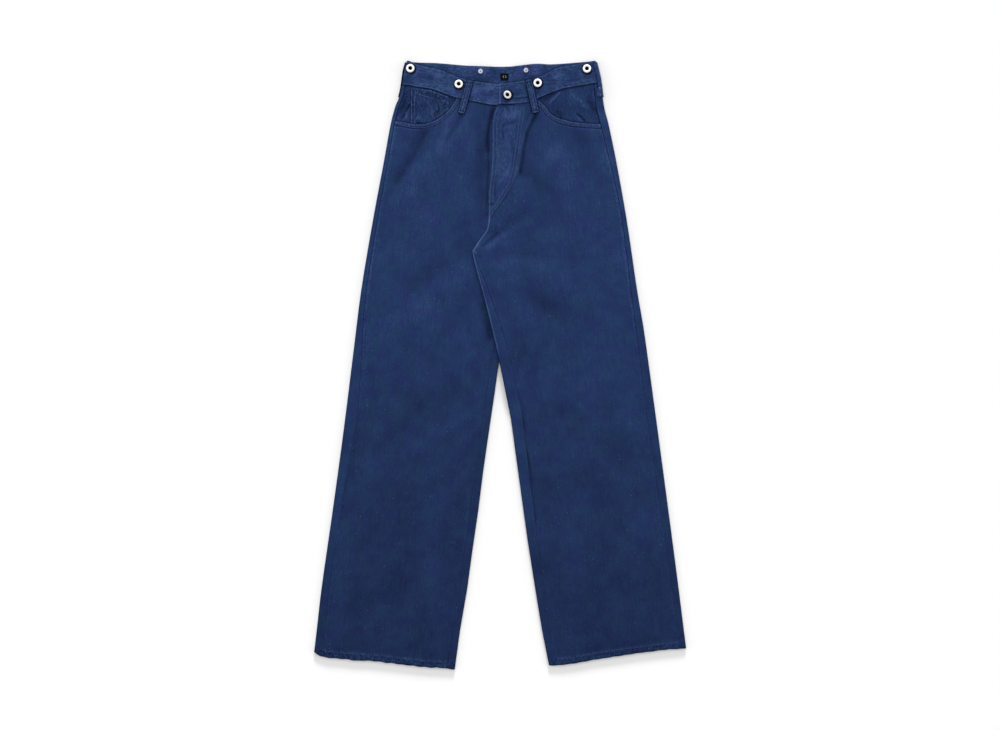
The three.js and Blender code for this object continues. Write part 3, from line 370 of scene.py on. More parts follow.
def smooth(rows):
    """A smooth curve through the rows of a table."""
    places, values = np.array(sorted(rows), float).T
    last = len(places) - 1
    before = np.maximum(np.arange(last + 1) - 1, 0)
    after = np.minimum(np.arange(last + 1) + 1, last)
    slopes = (values[after] - values[before]) / (places[after] - places[before])

    def curve(at):
        held = np.clip(at, places[0], places[-1])
        i = np.clip(np.searchsorted(places, held) - 1, 0, last - 1)
        span = places[i + 1] - places[i]
        t = (held - places[i]) / span
        start_share = 2 * t**3 - 3 * t**2 + 1
        pull = (t**3 - 2 * t**2 + t) * span * slopes[i] + (t**3 - t**2) * span * slopes[i + 1]
        return start_share * values[i] + (1 - start_share) * values[i + 1] + pull

    return curve


def from_segment(x, y, x1, y1, x2, y2):
    """Distance from a straight line, and the place along it from 0 to 1."""
    dx, dy = x2 - x1, y2 - y1
    t = np.clip(((x - x1) * dx + (y - y1) * dy) / (dx * dx + dy * dy), 0, 1)
    return np.hypot(x - x1 - t * dx, y - y1 - t * dy), t


def from_route(route, x, y):
    nearest = np.full(np.shape(x), 1e9)
    for (x1, y1), (x2, y2) in zip(route, route[1:]):
        nearest = np.minimum(nearest, from_segment(x, y, x1, y1, x2, y2)[0])
    return nearest


def creased(rows, x, y, sharpness=4, sway=0):
    """Straight creases with tapered ends, from a table of start x and y, end x and y, width and strength.
    With a sway their line wavers."""
    total = np.zeros(np.shape(x))
    for x1, y1, x2, y2, width, strength in rows:
        wavering = x + sway * np.sin((x + 2 * y) / 17 + x1)
        distance, t = from_segment(wavering, y, x1, y1, x2, y2)
        total = total + strength * ease(np.minimum(t, 1 - t) * sharpness) * ridge(distance, width)
    return total


fly_edge = straight(FLY_EDGE)
fly_underlap = straight(FLY_UNDERLAP)
back_band_top = smooth(BACK_BAND_TOP)
back_band_bottom = smooth(BACK_BAND_BOTTOM)


class Side:
    """One side's edges, as functions of the height or of the place across."""


right = Side()
right.name, right.inward, right.lean = "right", 1, math.radians(6.9)
right.outer, right.inner = smooth(OUTER_RIGHT), straight(INNER_RIGHT)
right.lip_outer, right.lip_inner = smooth(LIP_OUTER_RIGHT), smooth(LIP_INNER_RIGHT)
right.band_top, right.band_bottom = smooth(FRONT_BAND_TOP_RIGHT), straight(FRONT_BAND_BOTTOM_RIGHT)
right.opening, right.opening_route = straight(OPENING_RIGHT), OPENING_RIGHT
right.corner, right.opening_side = OPENING_RIGHT[-1], 427
right.hem, right.outer_hem, right.inner_hem = smooth(HEM_RIGHT), -503.6, -532.9
right.folds, right.creases, right.marks = FOLDS_RIGHT, CREASES_RIGHT, MARKS_RIGHT
right.front_inner, right.front_inner_top, right.flat_top_from = fly_underlap, 30, -12
right.band_side_bottom, right.band_front_end, right.band_back_end = 489, 20, 9.35
right.pocket_row, right.facing_inner = 422, -76
right.loop_reach, right.loop_start, right.loop_width = 9, 90, 13.2

left = Side()
left.name, left.inward, left.lean = "left", -1, math.radians(-6.9)
left.outer, left.inner = smooth(OUTER_LEFT), straight(INNER_LEFT)
left.lip_outer, left.lip_inner = smooth(LIP_OUTER_LEFT), smooth(LIP_INNER_LEFT)
left.band_top, left.band_bottom = smooth(FRONT_BAND_TOP_LEFT), smooth(FRONT_BAND_BOTTOM_LEFT)
left.opening, left.opening_route = straight(OPENING_LEFT), OPENING_LEFT
left.corner, left.opening_side = OPENING_LEFT[0], 421
left.hem, left.outer_hem, left.inner_hem = smooth(HEM_LEFT), -496.2, -526.2
left.folds, left.creases, left.marks = FOLDS_LEFT, CREASES_LEFT, MARKS_LEFT
left.front_inner, left.front_inner_top, left.flat_top_from = fly_edge, -4.6, -2
left.band_side_bottom, left.band_front_end, left.band_back_end = 492.4, -1.8, 9.65
left.pocket_row, left.facing_inner = 411, 66
left.loop_reach, left.loop_start, left.loop_width = 6, 0, 20.4

CROSSING_ROUTE = [(x, y) for y, x in INNER_RIGHT if -100 <= y <= CROTCH[1]]


def lift_over_right_leg(x, y):
    covered = (y <= CROTCH[1]) & (x <= right.inner(y))
    distance = np.where(covered, 0, from_route(CROSSING_ROUTE, x, y))
    return CROSSED_LEG_LIFT * nearness(distance - CROSSED_LEG_MARGIN, CROSSED_LEG_FALL)


def floor_lift(x, y):
    """How far the back buttons and the side loops under the band raise what lies on them."""
    lift = np.zeros(np.shape(x))
    for _, button_x, button_y in BACK_BUTTONS:
        distance = np.hypot(x - button_x, y - button_y) - BUTTON_RADIUS - BACK_BUTTON_MARGIN
        lift = np.maximum(lift, BACK_BUTTON_LIFT * nearness(distance, BACK_BUTTON_FALL))
    inset = np.where(x < 0, x - right.outer(y), left.outer(y) - x)
    below = SIDE_LOOP_TOP - LOOP_LENGTH - SIDE_LOOP_INSET - y
    distance = np.hypot(np.maximum(inset - SIDE_LOOP_INSET, 0), np.maximum(below, 0))
    return np.maximum(lift, SIDE_LOOP_LIFT * nearness(distance, SIDE_LOOP_FALL))


def hem_lift(side, x, y):
    return HEM_LIFT * nearness(y - side.hem(x) - HEM_WIDTH, HEM_FALL)


def fold_height(side, x, y):
    """The large folds and the finer creases."""
    height = np.zeros(np.shape(x))
    for x1, y1, x2, y2, width, tall in side.folds:
        height = height + tall * ridge(from_segment(x, y, x1, y1, x2, y2)[0], width)
    return height + creased(side.creases, x, y, sharpness=3, sway=3)


def marks(side, x, y):
    """Height and tone of the grooves and ridges along curved lines, a little uneven on their way. The tone
    paints shade in the grooves and highlight on the ridges.
    """
    height, tone = np.zeros(np.shape(x)), np.zeros(np.shape(x))
    for route, width, tall, shade in side.marks:
        uneven = 1 + 0.1 * np.sin(y / 8.1 + width) + 0.08 * np.sin(x / 3.7 + y / 9)
        share = ridge(from_route(route, x, y), width * (0.85 + 0.15 * uneven)) * uneven
        height, tone = height + tall * share, tone + shade * share
    return height, tone


def near_loops(x, y):
    """1 beside the front loops and under them, where the cloth lies in their shade."""
    stop, half_width, fall = 0.92, 6.2, 2.2
    shade = np.zeros(np.shape(x))
    for _, x1, y1, x2, y2 in FRONT_LOOPS:
        distance, _ = from_segment(x, y, x1, y1, lerp(x1, x2, stop), lerp(y1, y2, stop))
        shade = np.maximum(shade, nearness(distance - half_width, fall))
    return shade


def painted_button_shadow(x, y):
    """1 in the painted shadow round a button, thickest at its lower right, away from the light."""
    shift, wider, fall = (0.7, -0.8), 0.8, 2
    shade = np.zeros(np.shape(x))
    for _, _, button_x, button_y, _ in FRONT_BUTTONS:
        distance = np.hypot(x - button_x - shift[0], y - button_y - shift[1])
        shade = np.maximum(shade, nearness(distance - BUTTON_RADIUS - wider, fall))
    return shade


def hem_bumps(side, x):
    """Unevenness of a hem's edge, stronger on the right leg."""
    wave = np.sin(x / 3.1) + np.sin(x / 5.3 + 2) * np.sin(x / 23) + 0.8 * np.sin(x / 9.1 + 1)
    return wave * (0.42 if side is right else 0.24)


# Slow unevenness of cloth that has been washed and laid out.
RIPPLES = [
    (rng.uniform(0, 2 * math.pi), rng.uniform(34, 95), rng.uniform(0, 2 * math.pi), rng.uniform(0.5, 1))
    for _ in range(16)
]


def ripple(x, y):
    height = np.zeros(np.shape(x))
    for turn, length, phase, share in RIPPLES:
        along = x * math.cos(turn) + y * math.sin(turn) * 0.7
        height = height + share * np.sin(2 * math.pi * along / length + phase)
    return height / 4


def pucker(distance, along, reach, tall):
    """Small uneven waves beside a row of stitching."""
    wave = np.sin(along / 1.55 + 0.9 * np.sin(along / 11)) + 0.7 * np.sin(along / 2.7 + 2 + 0.6 * distance)
    wave = wave + 0.6 * np.sin(along / 6.3 + 1)
    return tall * wave / 1.6 * ridge(distance, reach)


def front_top_line(side, x):
    level = x > side.flat_top_from if side is right else x < side.flat_top_from
    seam = np.where(level, FLY_TOP, side.band_bottom(x)) - SEAM_GAP
    return np.where((side.corner[0] - x) * side.inward > 0, side.opening(x), seam)


def inset_from_inner(side, x, y):
    above = y > CROTCH[1]
    if side is left:
        return np.where(above, x - fly_edge(y), x - left.inner(y) - left.lip_inner(y))
    edge = np.minimum(right.inner(y) - right.lip_inner(y), left.inner(y))
    return np.where(above, fly_edge(y) - FLY_FLAT, edge) - x


def front_top(side, x, y):
    """Top face of a front, worked out from what lies under it and its folds."""
    inset_outer = (x - side.outer(y)) * side.inward - side.lip_outer(y)
    inset_inner = inset_from_inner(side, x, y)
    from_waist = np.maximum(front_top_line(side, x) - y, 0)
    from_hem = np.maximum(y - side.hem(x), 0)
    nearest = np.minimum(np.minimum(inset_outer, inset_inner), from_waist + RISE_AT_WAIST)
    rise = ease(np.minimum(nearest, from_hem + RISE_AT_HEM) / PUFF_RISE)
    pocket_distance = from_route(side.opening_route, x, y)
    pocket = POCKET_LIFT * nearness(pocket_distance - POCKET_MARGIN, POCKET_FALL)
    under = np.zeros(np.shape(x))
    if side is left:
        lap = FLY_LIFT * nearness(x - fly_underlap(y) - FLY_MARGIN, FLY_FALL)
        under = np.maximum(np.where(y > CROTCH[1], lap, 0), lift_over_right_leg(x, y))
    raised = floor_lift(x, y) + under + pocket + hem_lift(side, x, y)
    folds = PUFF + fold_height(side, x, y) + marks(side, x, y)[0] + 0.22 * ripple(x, y)
    fine = pucker(inset_outer, y, 7, 0.16) + pucker(from_hem - HEM_WIDTH, x + 0.8 * y, 8, 0.22)
    fine = fine + pucker(from_waist, x, 6, 0.12) + pucker(pocket_distance - 5, x, 4, 0.1)
    if side is left:
        fine = fine + np.where(y > 230, pucker(inset_inner - 5, y, 6, 0.14), 0)
    return EDGE_HEIGHT + raised + rise * np.maximum(folds, 0) + fine * ease(inset_outer / 3)


def band_top(side, x, y):
    """Top face of the waistband's front; the left end lies on the right one."""
    lap = BAND_FLY_LIFT * nearness(x - right.band_front_end - FLY_MARGIN, FLY_FALL) if side is left else 0
    return BAND_HEIGHT + floor_lift(x, y) + lap


def back_band_inside(x, y):
    return BAND_CLOTH + floor_lift(x, y)


def facing_top(side, x, y):
    distance = from_route(side.opening_route, x, y) - POCKET_MARGIN
    return EDGE_HEIGHT + floor_lift(x, y) - FACING_DIP * nearness(distance, POCKET_FALL)


INNER_TOP = float(back_band_bottom(0)) - SEAM_GAP


def row_at(side, height):
    return (INNER_TOP - height) / (INNER_TOP - side.inner_hem)


def leg_place(side, across, row):
    """A leg laid flat: rows run from the waist at 0 to the hem at 1, and across from the outer edge."""
    outer_top = side.band_side_bottom - SEAM_GAP
    y1 = lerp(outer_top, side.outer_hem, row)
    y2 = lerp(INNER_TOP, side.inner_hem, row)
    top_x = lerp(side.outer(outer_top), side.inner(INNER_TOP), across)
    hem_x = lerp(side.outer(side.outer_hem), side.inner(side.inner_hem), across)
    top_bow = back_band_bottom(top_x) - SEAM_GAP - lerp(outer_top, INNER_TOP, across)
    hem_bow = side.hem(hem_x) - lerp(side.outer_hem, side.inner_hem, across)
    y = lerp(y1, y2, across) + top_bow * (1 - row) ** 4 + hem_bow * row**6
    return lerp(side.outer(y1), side.inner(y2), across), y


def row_sizes(side, row):
    """A row's width and the lips at its two ends; above the crotch the inner end stays on the floor."""
    x1, y1 = leg_place(side, 0, row)
    x2, y2 = leg_place(side, 1, row)
    wrapped = row > row_at(side, CROTCH[1]) + 0.001
    lip_inner = np.where(wrapped, side.lip_inner(y2), UNWRAPPED_END)
    return np.hypot(x2 - x1, y2 - y1), side.lip_outer(y1), lip_inner, wrapped


# Meshes.


def mesh_of(name, bm):
    """A smooth-shaded mesh from a bmesh."""
    mesh = bpy.data.meshes.new(name)
    bm.to_mesh(mesh)
    bm.free()
    mesh.polygons.foreach_set("use_smooth", np.ones(len(mesh.polygons), bool))
    return mesh


def mark_points(mesh, label, values):
    mesh.attributes.new(label, "FLOAT", "POINT").data.foreach_set("value", np.asarray(values, np.float32))


def sheet_mesh(name, grid, shape, flipped=False):
    """A grid turned into a cloth sheet. shape takes places from 0 to 1 across and along. It gives x, y, z and
    the cloth's own u and v in millimetres, how rubbed the place is with its painted shade and highlight, and,
    if wanted, how much it puckers."""
    bm = bmesh.new()
    bmesh.ops.create_grid(bm, x_segments=grid[0], y_segments=grid[1], size=0.5)
    mesh = mesh_of(name, bm)
    flat = np.empty(len(mesh.vertices) * 3)
    mesh.vertices.foreach_get("co", flat)
    u, v = flat.reshape(-1, 3)[:, 0] + 0.5, 0.5 - flat.reshape(-1, 3)[:, 1]
    x, y, z, grain_u, grain_v, wear, *puckered = shape(u, v)
    mesh.vertices.foreach_set("co", (np.stack([x, y, z], 1) * MM).ravel())
    corners = np.empty(len(mesh.loops), int)
    mesh.loops.foreach_get("vertex_index", corners)
    uv = mesh.uv_layers.new(name="cloth")
    uv.data.foreach_set("uv", (np.stack([grain_u, grain_v], 1)[corners] * MM).ravel())
    # Rubbing together with painted shade and highlight, kept as one attribute.
    mark_points(mesh, "wear", wear)
    mark_points(mesh, "pucker", puckered[0] if puckered else np.zeros(np.shape(x)))
    mesh.update()
    if flipped:
        mesh.flip_normals()
    return mesh


def add_piece(name, mesh, material, replaces=()):
    mesh.materials.append(material)
    piece = put(name, mesh)
    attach(piece, "root")
    if replaces:
        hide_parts(*replaces)
    return piece


def cloth_piece(mesh, node, slot, wall):
    """A cloth piece in place of a CAD node, thickened downwards to its wall."""
    piece = add_piece(mesh.name, mesh, LOOKS[slot], [node])
    solid = piece.modifiers.new("thickness", "SOLIDIFY")
    solid.thickness = wall * MM
    solid.offset = -1
    return piece


def grain(side, x, y):
    """Places along and across the leg's own middle line."""
    c, s = math.cos(side.lean), math.sin(side.lean)
    return x * c - y * s, x * s + y * c


def crowd(t, rim):
    """Places from 0 to 1 with rows close together at both ends, at the given distance from them."""
    return np.interp(t, [0, 0.05, 0.1, 0.9, 0.95, 1], [0, rim * 0.35, rim, 1 - rim, 1 - rim * 0.35, 1])


def rolled(distance, radius=1.0, drop=0.6):
    """How far a cut edge that is turned under rolls down, by the distance from it."""
    near = np.clip(1 - distance / radius, 0, 1)
    return drop * (1 - np.sqrt(1 - near**2 * 0.98))


def on_low_leg(y):
    """1 on the lower leg, easing to 0 above it."""
    return nearness(y - LOW_LEG, LOW_LEG_FALL)


def flat_seam(y):
    """How far the side seam's edges still roll down: fully at the hip and little on the lower leg."""
    return lerp(1, FLAT_SEAM, on_low_leg(y))


def hem_puckers(side, from_hem):
    return nearness(from_hem - 9, 8) * (0.95 if side is right else 0.7)


def hem_shade(from_hem):
    return -0.9 * nearness(from_hem, 2.2)


def front_wear_and_shade(side, x, y, from_side, from_inner, from_hem, from_opening):
    """How much paler or darker a front is: rubbed paler beside its seams and at the hem, with painted shade
    and highlight on its folds, round the pocket, under the waistband and beside the loops.
    """
    from_seam = np.maximum(front_top_line(side, x) - y, 0)
    under_band = (side.corner[0] - x) * side.inward < 0
    hip, shin = nearness(150 - y, 160), on_low_leg(y + LOW_LEG_FALL)
    # Painted shade in fold troughs and painted highlight on fold ridges; painted highlight on the pocket's
    # raised rims with painted shade in the groove and at its edge; painted shade under the waistband seam and
    # beside the loops.
    wear = (
        np.clip(fold_height(side, x, y) * 0.06, -0.15, 0.15)
        + marks(side, x, y)[1]
        + (0.06 + 0.2 * hip) * ridge(from_side, 1.6, 2.2)
        + 0.12 * shin * nearness(from_side, 1.5)
        + bands(from_opening, OPENING_BANDS)
        - 0.8 * nearness(from_opening, 1.2)
        - 0.6 * under_band * nearness(from_seam, 3)
        - 0.08 * nearness(300 - y, 120)
        - 0.7 * near_loops(x, y)
        + hem_shade(from_hem)
        + 0.12 * ridge(from_hem, 1, 12) * (1 + np.sin(x / 11 + y / 5))
        + 0.14 * nearness(from_hem - 10, 4)
    )
    if side is left:
        # A paler line along the fly's edge, strongest near the crotch.
        pale_fly_edge = 0.06 + 0.7 * nearness(np.abs(y - 228) - 27, 14) + 0.2 * (y > 250)
        wear = wear + pale_fly_edge * ridge(from_inner, 1.3, 1.6)
    return wear


def front_puckers(side, y, from_side, from_inner, from_hem, from_opening):
    """How much a front puckers along its rows of stitching."""
    puckers = np.maximum(hem_puckers(side, from_hem), 0.55 * nearness(from_opening - 7, 3))
    puckers = np.maximum(puckers, 0.3 * nearness(from_side - 5, 4))
    if side is left:
        puckers = np.maximum(puckers, 0.3 * (y > 230) * nearness(from_inner - 45, 8))
    return puckers


def front_sheet(side):
    """A front, from the pocket opening and waistband seam to the hem."""
    top_row = row_at(side, side.pocket_row)
    crotch_row = row_at(side, CROTCH[1])
    width, lip, _, _ = row_sizes(side, top_row)
    start_x, start_y = leg_place(side, (lip + SEAM_GAP) / width, top_row)
    end_x = side.front_inner_top
    end_y = float(front_top_line(side, end_x))
    corner_share = (side.corner[0] - start_x) / (end_x - start_x)

    def ends(row):
        width, lip_outer, lip_inner, wrapped = row_sizes(side, row)
        gap = SEAM_GAP - SEAM_CLOSING * ease((row - crotch_row) / 0.15)
        x1, y1 = leg_place(side, (lip_outer + gap) / width, row)
        x2, y2 = leg_place(side, 1 - (lip_inner + gap) / width, row)
        fly_y = lerp(end_y, CROTCH[1], (row - top_row) / (crotch_row - top_row))
        return x1, y1, np.where(wrapped, x2, side.front_inner(fly_y)), np.where(wrapped, y2, fly_y)

    hem_x1, hem_y1, hem_x2, hem_y2 = ends(np.array(1.0))

    def shape(u, v):
        across = np.interp(u, [0, 0.04, 0.45, 0.96, 1], [0, 0.012, corner_share, 0.99, 1])
        below = np.interp(v, [0, 0.015, 0.96, 0.99, 1], [0, 0.003, 0.985, 0.9985, 1])
        row = lerp(top_row, 1, below)
        x1, y1, x2, y2 = ends(row)
        top_bow = front_top_line(side, lerp(start_x, end_x, across)) - lerp(start_y, end_y, across)
        hem_bow = side.hem(lerp(hem_x1, hem_x2, across)) - lerp(hem_y1, hem_y2, across)
        inside = (u > 0.001) & (u < 0.999)
        bow = np.where(inside, top_bow * (1 - below) ** 5 + hem_bow * below**6, 0)
        x, y = lerp(x1, x2, across), lerp(y1, y2, across) + bow
        hem_distance = (1 - below) * (1 - top_row) * (INNER_TOP - side.inner_hem)
        side_distance = across * np.hypot(x2 - x1, y2 - y1)
        inner_distance = (1 - across) * np.hypot(x2 - x1, y2 - y1)
        opening_distance = from_route(side.opening_route, x, y)
        z = front_top(side, x, y) - rolled(hem_distance)
        z = z - rolled(side_distance, *PANEL_ROLL) * flat_seam(y)
        z = z - rolled(inner_distance, *PANEL_ROLL) * np.where(y < CROTCH[1], FLAT_SEAM, 1)
        z = z - rolled(np.maximum(front_top_line(side, x) - y, 0), *WAIST_ROLL)
        wear = front_wear_and_shade(side, x, y, side_distance, inner_distance, hem_distance, opening_distance)
        puckers = front_puckers(side, y, side_distance, inner_distance, hem_distance, opening_distance)
        uneven_y = y + hem_bumps(side, x) * nearness(hem_distance, HEM_BUMP_REACH)
        return x, uneven_y, z, *grain(side, x, y), wear, puckers

    return sheet_mesh(f"cloth_front_{side.name}", FRONT_GRID, shape, flipped=side is left)


def back_sheet(side):
    """A back: lip, folded edge, floor, folded edge and lip."""
    r = EDGE_RADIUS
    arc = math.pi * r

    def shape(u, v):
        row = np.interp(v, [0, 0.97, 0.99, 1], [0, 0.985, 0.9985, 1])
        width, lip_outer, lip_inner, wrapped = row_sizes(side, row)
        wrap = arc + lip_inner - r
        floor_end = np.where(wrapped, width - r, width - wrap)
        # Unfolded length from the outer fold's foot, below 0 round the fold and on its lip.
        place = u * 6
        lip_part, arc_part = np.clip(place, 0, 1), np.clip(place - 1, 0, 1)
        floor_part, rise_part = np.clip((place - 2) / 2, 0, 1), np.clip(place - 4, 0, 1)
        end_part = np.clip(place - 5, 0, 1)
        length = -arc - (lip_outer - r) * (1 - lip_part) + arc * arc_part
        length = length + (floor_end - r) * floor_part + arc * rise_part + (lip_inner - r) * end_part
        outer_turn = np.clip(length / r, -math.pi, 0)
        beyond = length - (floor_end - r)
        inner_turn = np.where(wrapped, np.clip(beyond / r, 0, math.pi), 0)
        turn = outer_turn + inner_turn
        outer_rest = np.minimum(length + arc, 0)
        inset = r + r * np.sin(outer_turn) - outer_rest
        on_floor = np.clip(length, 0, floor_end - r)
        inner_rest = np.maximum(beyond, 0) - inner_turn * r
        inner_inset = floor_end + r * np.sin(inner_turn) + inner_rest * np.cos(inner_turn)
        inset = np.where(length < 0, inset, np.where(beyond > 0, inner_inset, r + on_floor))
        height = r - r * np.cos(turn)
        x, y = leg_place(side, inset / width, row)
        over = lift_over_right_leg(x, y) if side is left else 0
        up, on_inner = height / EDGE_HEIGHT, beyond > 0
        z = height + np.maximum(floor_lift(x, y), over) + hem_lift(side, x, y) * up
        seam_distance = np.minimum(length + arc + lip_outer - r, floor_end - r + wrap - length)
        seam_distance = np.where(on_inner & ~wrapped, FAR_OFF, np.maximum(seam_distance, 0))
        on_lip = ease(up * 2 - 1)
        z = z - rolled(seam_distance, *PANEL_ROLL) * on_lip * flat_seam(y)
        z = z + on_lip * pucker(seam_distance, y, 6, 0.13)
        hem_distance = (1 - row) * (INNER_TOP - side.inner_hem)
        z = z + rolled(hem_distance) * (1 - 2 * up)
        low = on_low_leg(y)
        crossing = ease((y - 5) / 30) * on_inner * (side is left)
        paler_lip = nearness(np.abs(y + 190) - 60, 110) * (on_inner == (side is left))
        # Paler beside the seam on the hip; painted shade at the seam on the hip and painted light there on
        # the lower leg against the gap's shade; painted shade along the folded edge's side, eased where the
        # left leg crosses, and a painted highlight on that crossing edge.
        wear = (
            on_lip * lerp(0.12, 0, low) * ridge(seam_distance, 1.6, 2)
            + on_lip * lerp(-0.3, 0.15, low) * nearness(seam_distance, 1.4)
            + on_lip * 0.16 * paler_lip
            - (1.2 - crossing) * ridge(up, 0.34, 0.45)
            + 0.8 * crossing * ridge(up, 0.14, 0.92) * (inset > width - r)
            + hem_shade(hem_distance)
        )
        grain_u, grain_v = grain(side, *leg_place(side, 0, row))
        uneven_y = y + hem_bumps(side, x) * nearness(hem_distance, HEM_BUMP_REACH)
        return x, uneven_y, z, grain_u + side.inward * length, grain_v, wear, hem_puckers(side, hem_distance)

    return sheet_mesh(f"cloth_back_{side.name}", BACK_GRID, shape, flipped=side is right)


# Creases in the band: start x and y, end x and y, width, tone.
# These creases are only painted: shade in a crease below 0, highlight on a ridge above 0.
BAND_CREASES = [
    (20, 465, 54, 469, 1.2, -2),
    (20, 468.5, 50, 472, 1.4, 1.2),
    (22, 482, 36, 487, 2, 1),
    (-150, 506, -110, 500, 3, -0.8),
    (-130, 512, -92, 504, 3, 0.7),
    (-40, 484, -8, 482, 3, 0.7),
    (88, 500, 120, 512, 4, 0.8),
    (96, 492, 146, 503, 2.5, -0.9),
    (140, 498, 168, 500, 2, 0.8),
]


def band_wear_and_shade(side, x, y, on_front, on_back, rim, end_distance, at_top, facing_up):
    """Paler rims; painted highlight at the fly end and its corner; painted shade at the rims, the side turn
    and the creases, with painted highlight on crease ridges; painted shadow of the buttons, the loops and the
    front.
    """
    # corner paints a highlight at the fly end's lower corner.
    corner = nearness(np.hypot(end_distance, rim) - 1.5, 2.5) * ~at_top
    # Painted shadow of the front's top edge on the back.
    front_band_shadow = nearness(np.abs(y - side.band_top(x)), 3.2) * (x * side.inward < 0)
    # Painted shade at the rim's edge, on the side turn and in the creases, painted highlight on crease
    # ridges, and painted shadow round the buttons and the loops.
    wear = (
        np.where(at_top, 0.2, 0.06) * ridge(rim, 1.1, 1.6)
        - 0.6 * nearness(rim, 1.1)
        - 0.9 * (np.abs(facing_up) < 0.7)
        + 0.3 * creased(BAND_CREASES, x, y) * on_front
        + (0.14 if side is right else -0.06) * on_front
        - 1.5 * painted_button_shadow(x, y) * on_front
        - 0.6 * near_loops(x, y) * on_front
        - 0.7 * front_band_shadow * on_back
        + 0.22 * ripple(x * 2.2, y * 3)
    )
    if side is left:
        # Painted shadow beside the side loop, and a painted highlight along the fly end.
        side_loop_shadow = ridge(left.outer(y) - x, 1.1, 7.4) * on_front
        wear = wear + 0.75 * ridge(end_distance, 1, 1.2) + 0.9 * corner - 1.1 * side_loop_shadow
    return wear


def band_sheet(side):
    """One waistband half: from the fly end along the front, round the side, to the centre back."""
    r = BAND_RADIUS
    run = SIDE_LOOP_INSET - r

    def shape(u, v):
        share = 1 - crowd(v, 0.03)
        side_y = lerp(side.band_side_bottom, BAND_TOP_AT_SIDE, share)
        edge = side.outer(side_y) + side.inward * FOLD_GAP
        near_edge = edge + side.inward * SIDE_LOOP_INSET
        on_front, on_back = u <= 0.46, u >= 0.54
        front_part = np.interp(u, [0, 0.02, 0.46], [0, 0.012, 1])
        turn_part = np.clip((u - 0.46) / 0.08, 0, 1)
        back_part = np.clip((u - 0.54) / 0.46, 0, 1)
        front_x = lerp(side.band_front_end, near_edge, front_part)
        front_y = lerp(side.band_bottom(front_x), side.band_top(front_x), share)
        back_x = lerp(near_edge, side.band_back_end + side.inward * SEAM_CLOSING, back_part)
        back_y = lerp(back_band_bottom(back_x), back_band_top(back_x), share)
        # Round the side: a straight run to the fold, the half round, and a straight run back.
        length = turn_part * (2 * run + math.pi * r) - run
        turn = np.clip(length / r, 0, math.pi)
        rest = np.where(length < 0, -length, np.maximum(length - math.pi * r, 0))
        side_x = edge + side.inward * (r - r * np.sin(turn) + rest)
        side_z = r + r * np.cos(turn) + floor_lift(edge, side_y)
        line = np.where(length < 0, lerp(side.band_bottom(side_x), side.band_top(side_x), share),
                        lerp(back_band_bottom(side_x), back_band_top(side_x), share))
        x = np.where(on_front, front_x, np.where(on_back, back_x, side_x))
        y = np.where(on_front, front_y, np.where(on_back, back_y, lerp(side_y, line, ease(rest / run))))
        z = np.where(on_front, band_top(side, x, y), np.where(on_back, floor_lift(x, y), side_z))
        facing_up = np.cos(np.where(on_front, 0, np.where(on_back, math.pi, turn)))
        rim = np.minimum(share, 1 - share) * np.abs(side.band_top(x) - side.band_bottom(x))
        end_distance = np.where(on_front, np.abs(x - side.band_front_end), FAR_OFF)
        roll = rolled(rim, *BAND_RIM_ROLL) + rolled(end_distance, *BAND_END_ROLL)
        fine = pucker(rim - 2, x, 5, 0.11) + 0.12 * ripple(x * 1.3, y * 1.3) * ease(rim / 8)
        z = z + np.where(facing_up > 0, fine * facing_up, 0) - roll * facing_up
        around = np.where(on_front, np.abs(x), np.where(on_back, 420 - np.abs(x), 210 + length * 0.6))
        wear = band_wear_and_shade(side, x, y, on_front, on_back, rim, end_distance, share > 0.5, facing_up)
        puckers = np.where(on_front, 0.3 * nearness(rim - 4, 5) + 0.3, 0.45)
        return x, y, z, share * BAND_WIDTH, around, wear, puckers

    return sheet_mesh(f"cloth_band_{side.name}", BAND_GRID, shape, flipped=side is right)


def opening_shade(side, x, y):
    """The shade just inside a pocket's edge."""
    return -0.5 * nearness(y - side.opening(x) - 0.5, 3)


def facing_sheet(side):
    """The cloth inside a pocket opening."""

    def shape(u, v):
        side_y = lerp(side.band_side_bottom, side.opening_side - POCKET_MARGIN, v)
        side_x = side.outer(side_y) + side.inward * (side.lip_outer(side_y) + 3 * SEAM_GAP)
        x = lerp(side_x, side.facing_inner, u)
        y = lerp(side.band_bottom(x) - SEAM_GAP, side.opening(x) - POCKET_MARGIN, v)
        crease = creased(FACING_CREASES[side.name], x, y)
        z = facing_top(side, x, y) + crease - FACING_SINK
        # Painted shade in the creases with highlight on their ridges, under the waistband seam and inside the
        # opening.
        wear = (
            np.clip(crease, -0.8, 0.6)
            - 0.6 * nearness(side.band_bottom(x) - y - SEAM_GAP, 3.5)
            + opening_shade(side, x, y)
            - 0.1 * (side is left)
        )
        return x, y, z, *grain(side, x, y), wear, np.full(np.shape(x), 0.35)

    return sheet_mesh(f"cloth_facing_{side.name}", FACING_GRID, shape, flipped=side is left)


# Creases in the facings: start x and y, end x and y, width, height.
FACING_CREASES = {
    "right": [
        (-156.5, 458, -167, 439, 1.6, -1.2),
        (-165.5, 441, -173, 429, 1.5, -0.9),
        (-161, 482, -176, 434, 4.5, -0.6),
        (-162, 446, -166, 429, 1.8, 0.6),
        (-176, 462, -184, 436, 3, 0.35),
    ],
    "left": [
        (132, 442, 152, 424, 1.5, -1.1),
        (128, 442, 146, 424, 3, 0.3),
        (117, 481, 158, 444, 3.5, 0.35),
        (109, 480, 83, 455, 1.7, 0.8),
        (100, 478, 74, 462, 2.4, -0.4),
        (150, 470, 172, 436, 5, -0.45),
        (96, 446, 112, 432, 4, -0.5),
        (162, 492, 166, 462, 2, 0.3),
    ],
}

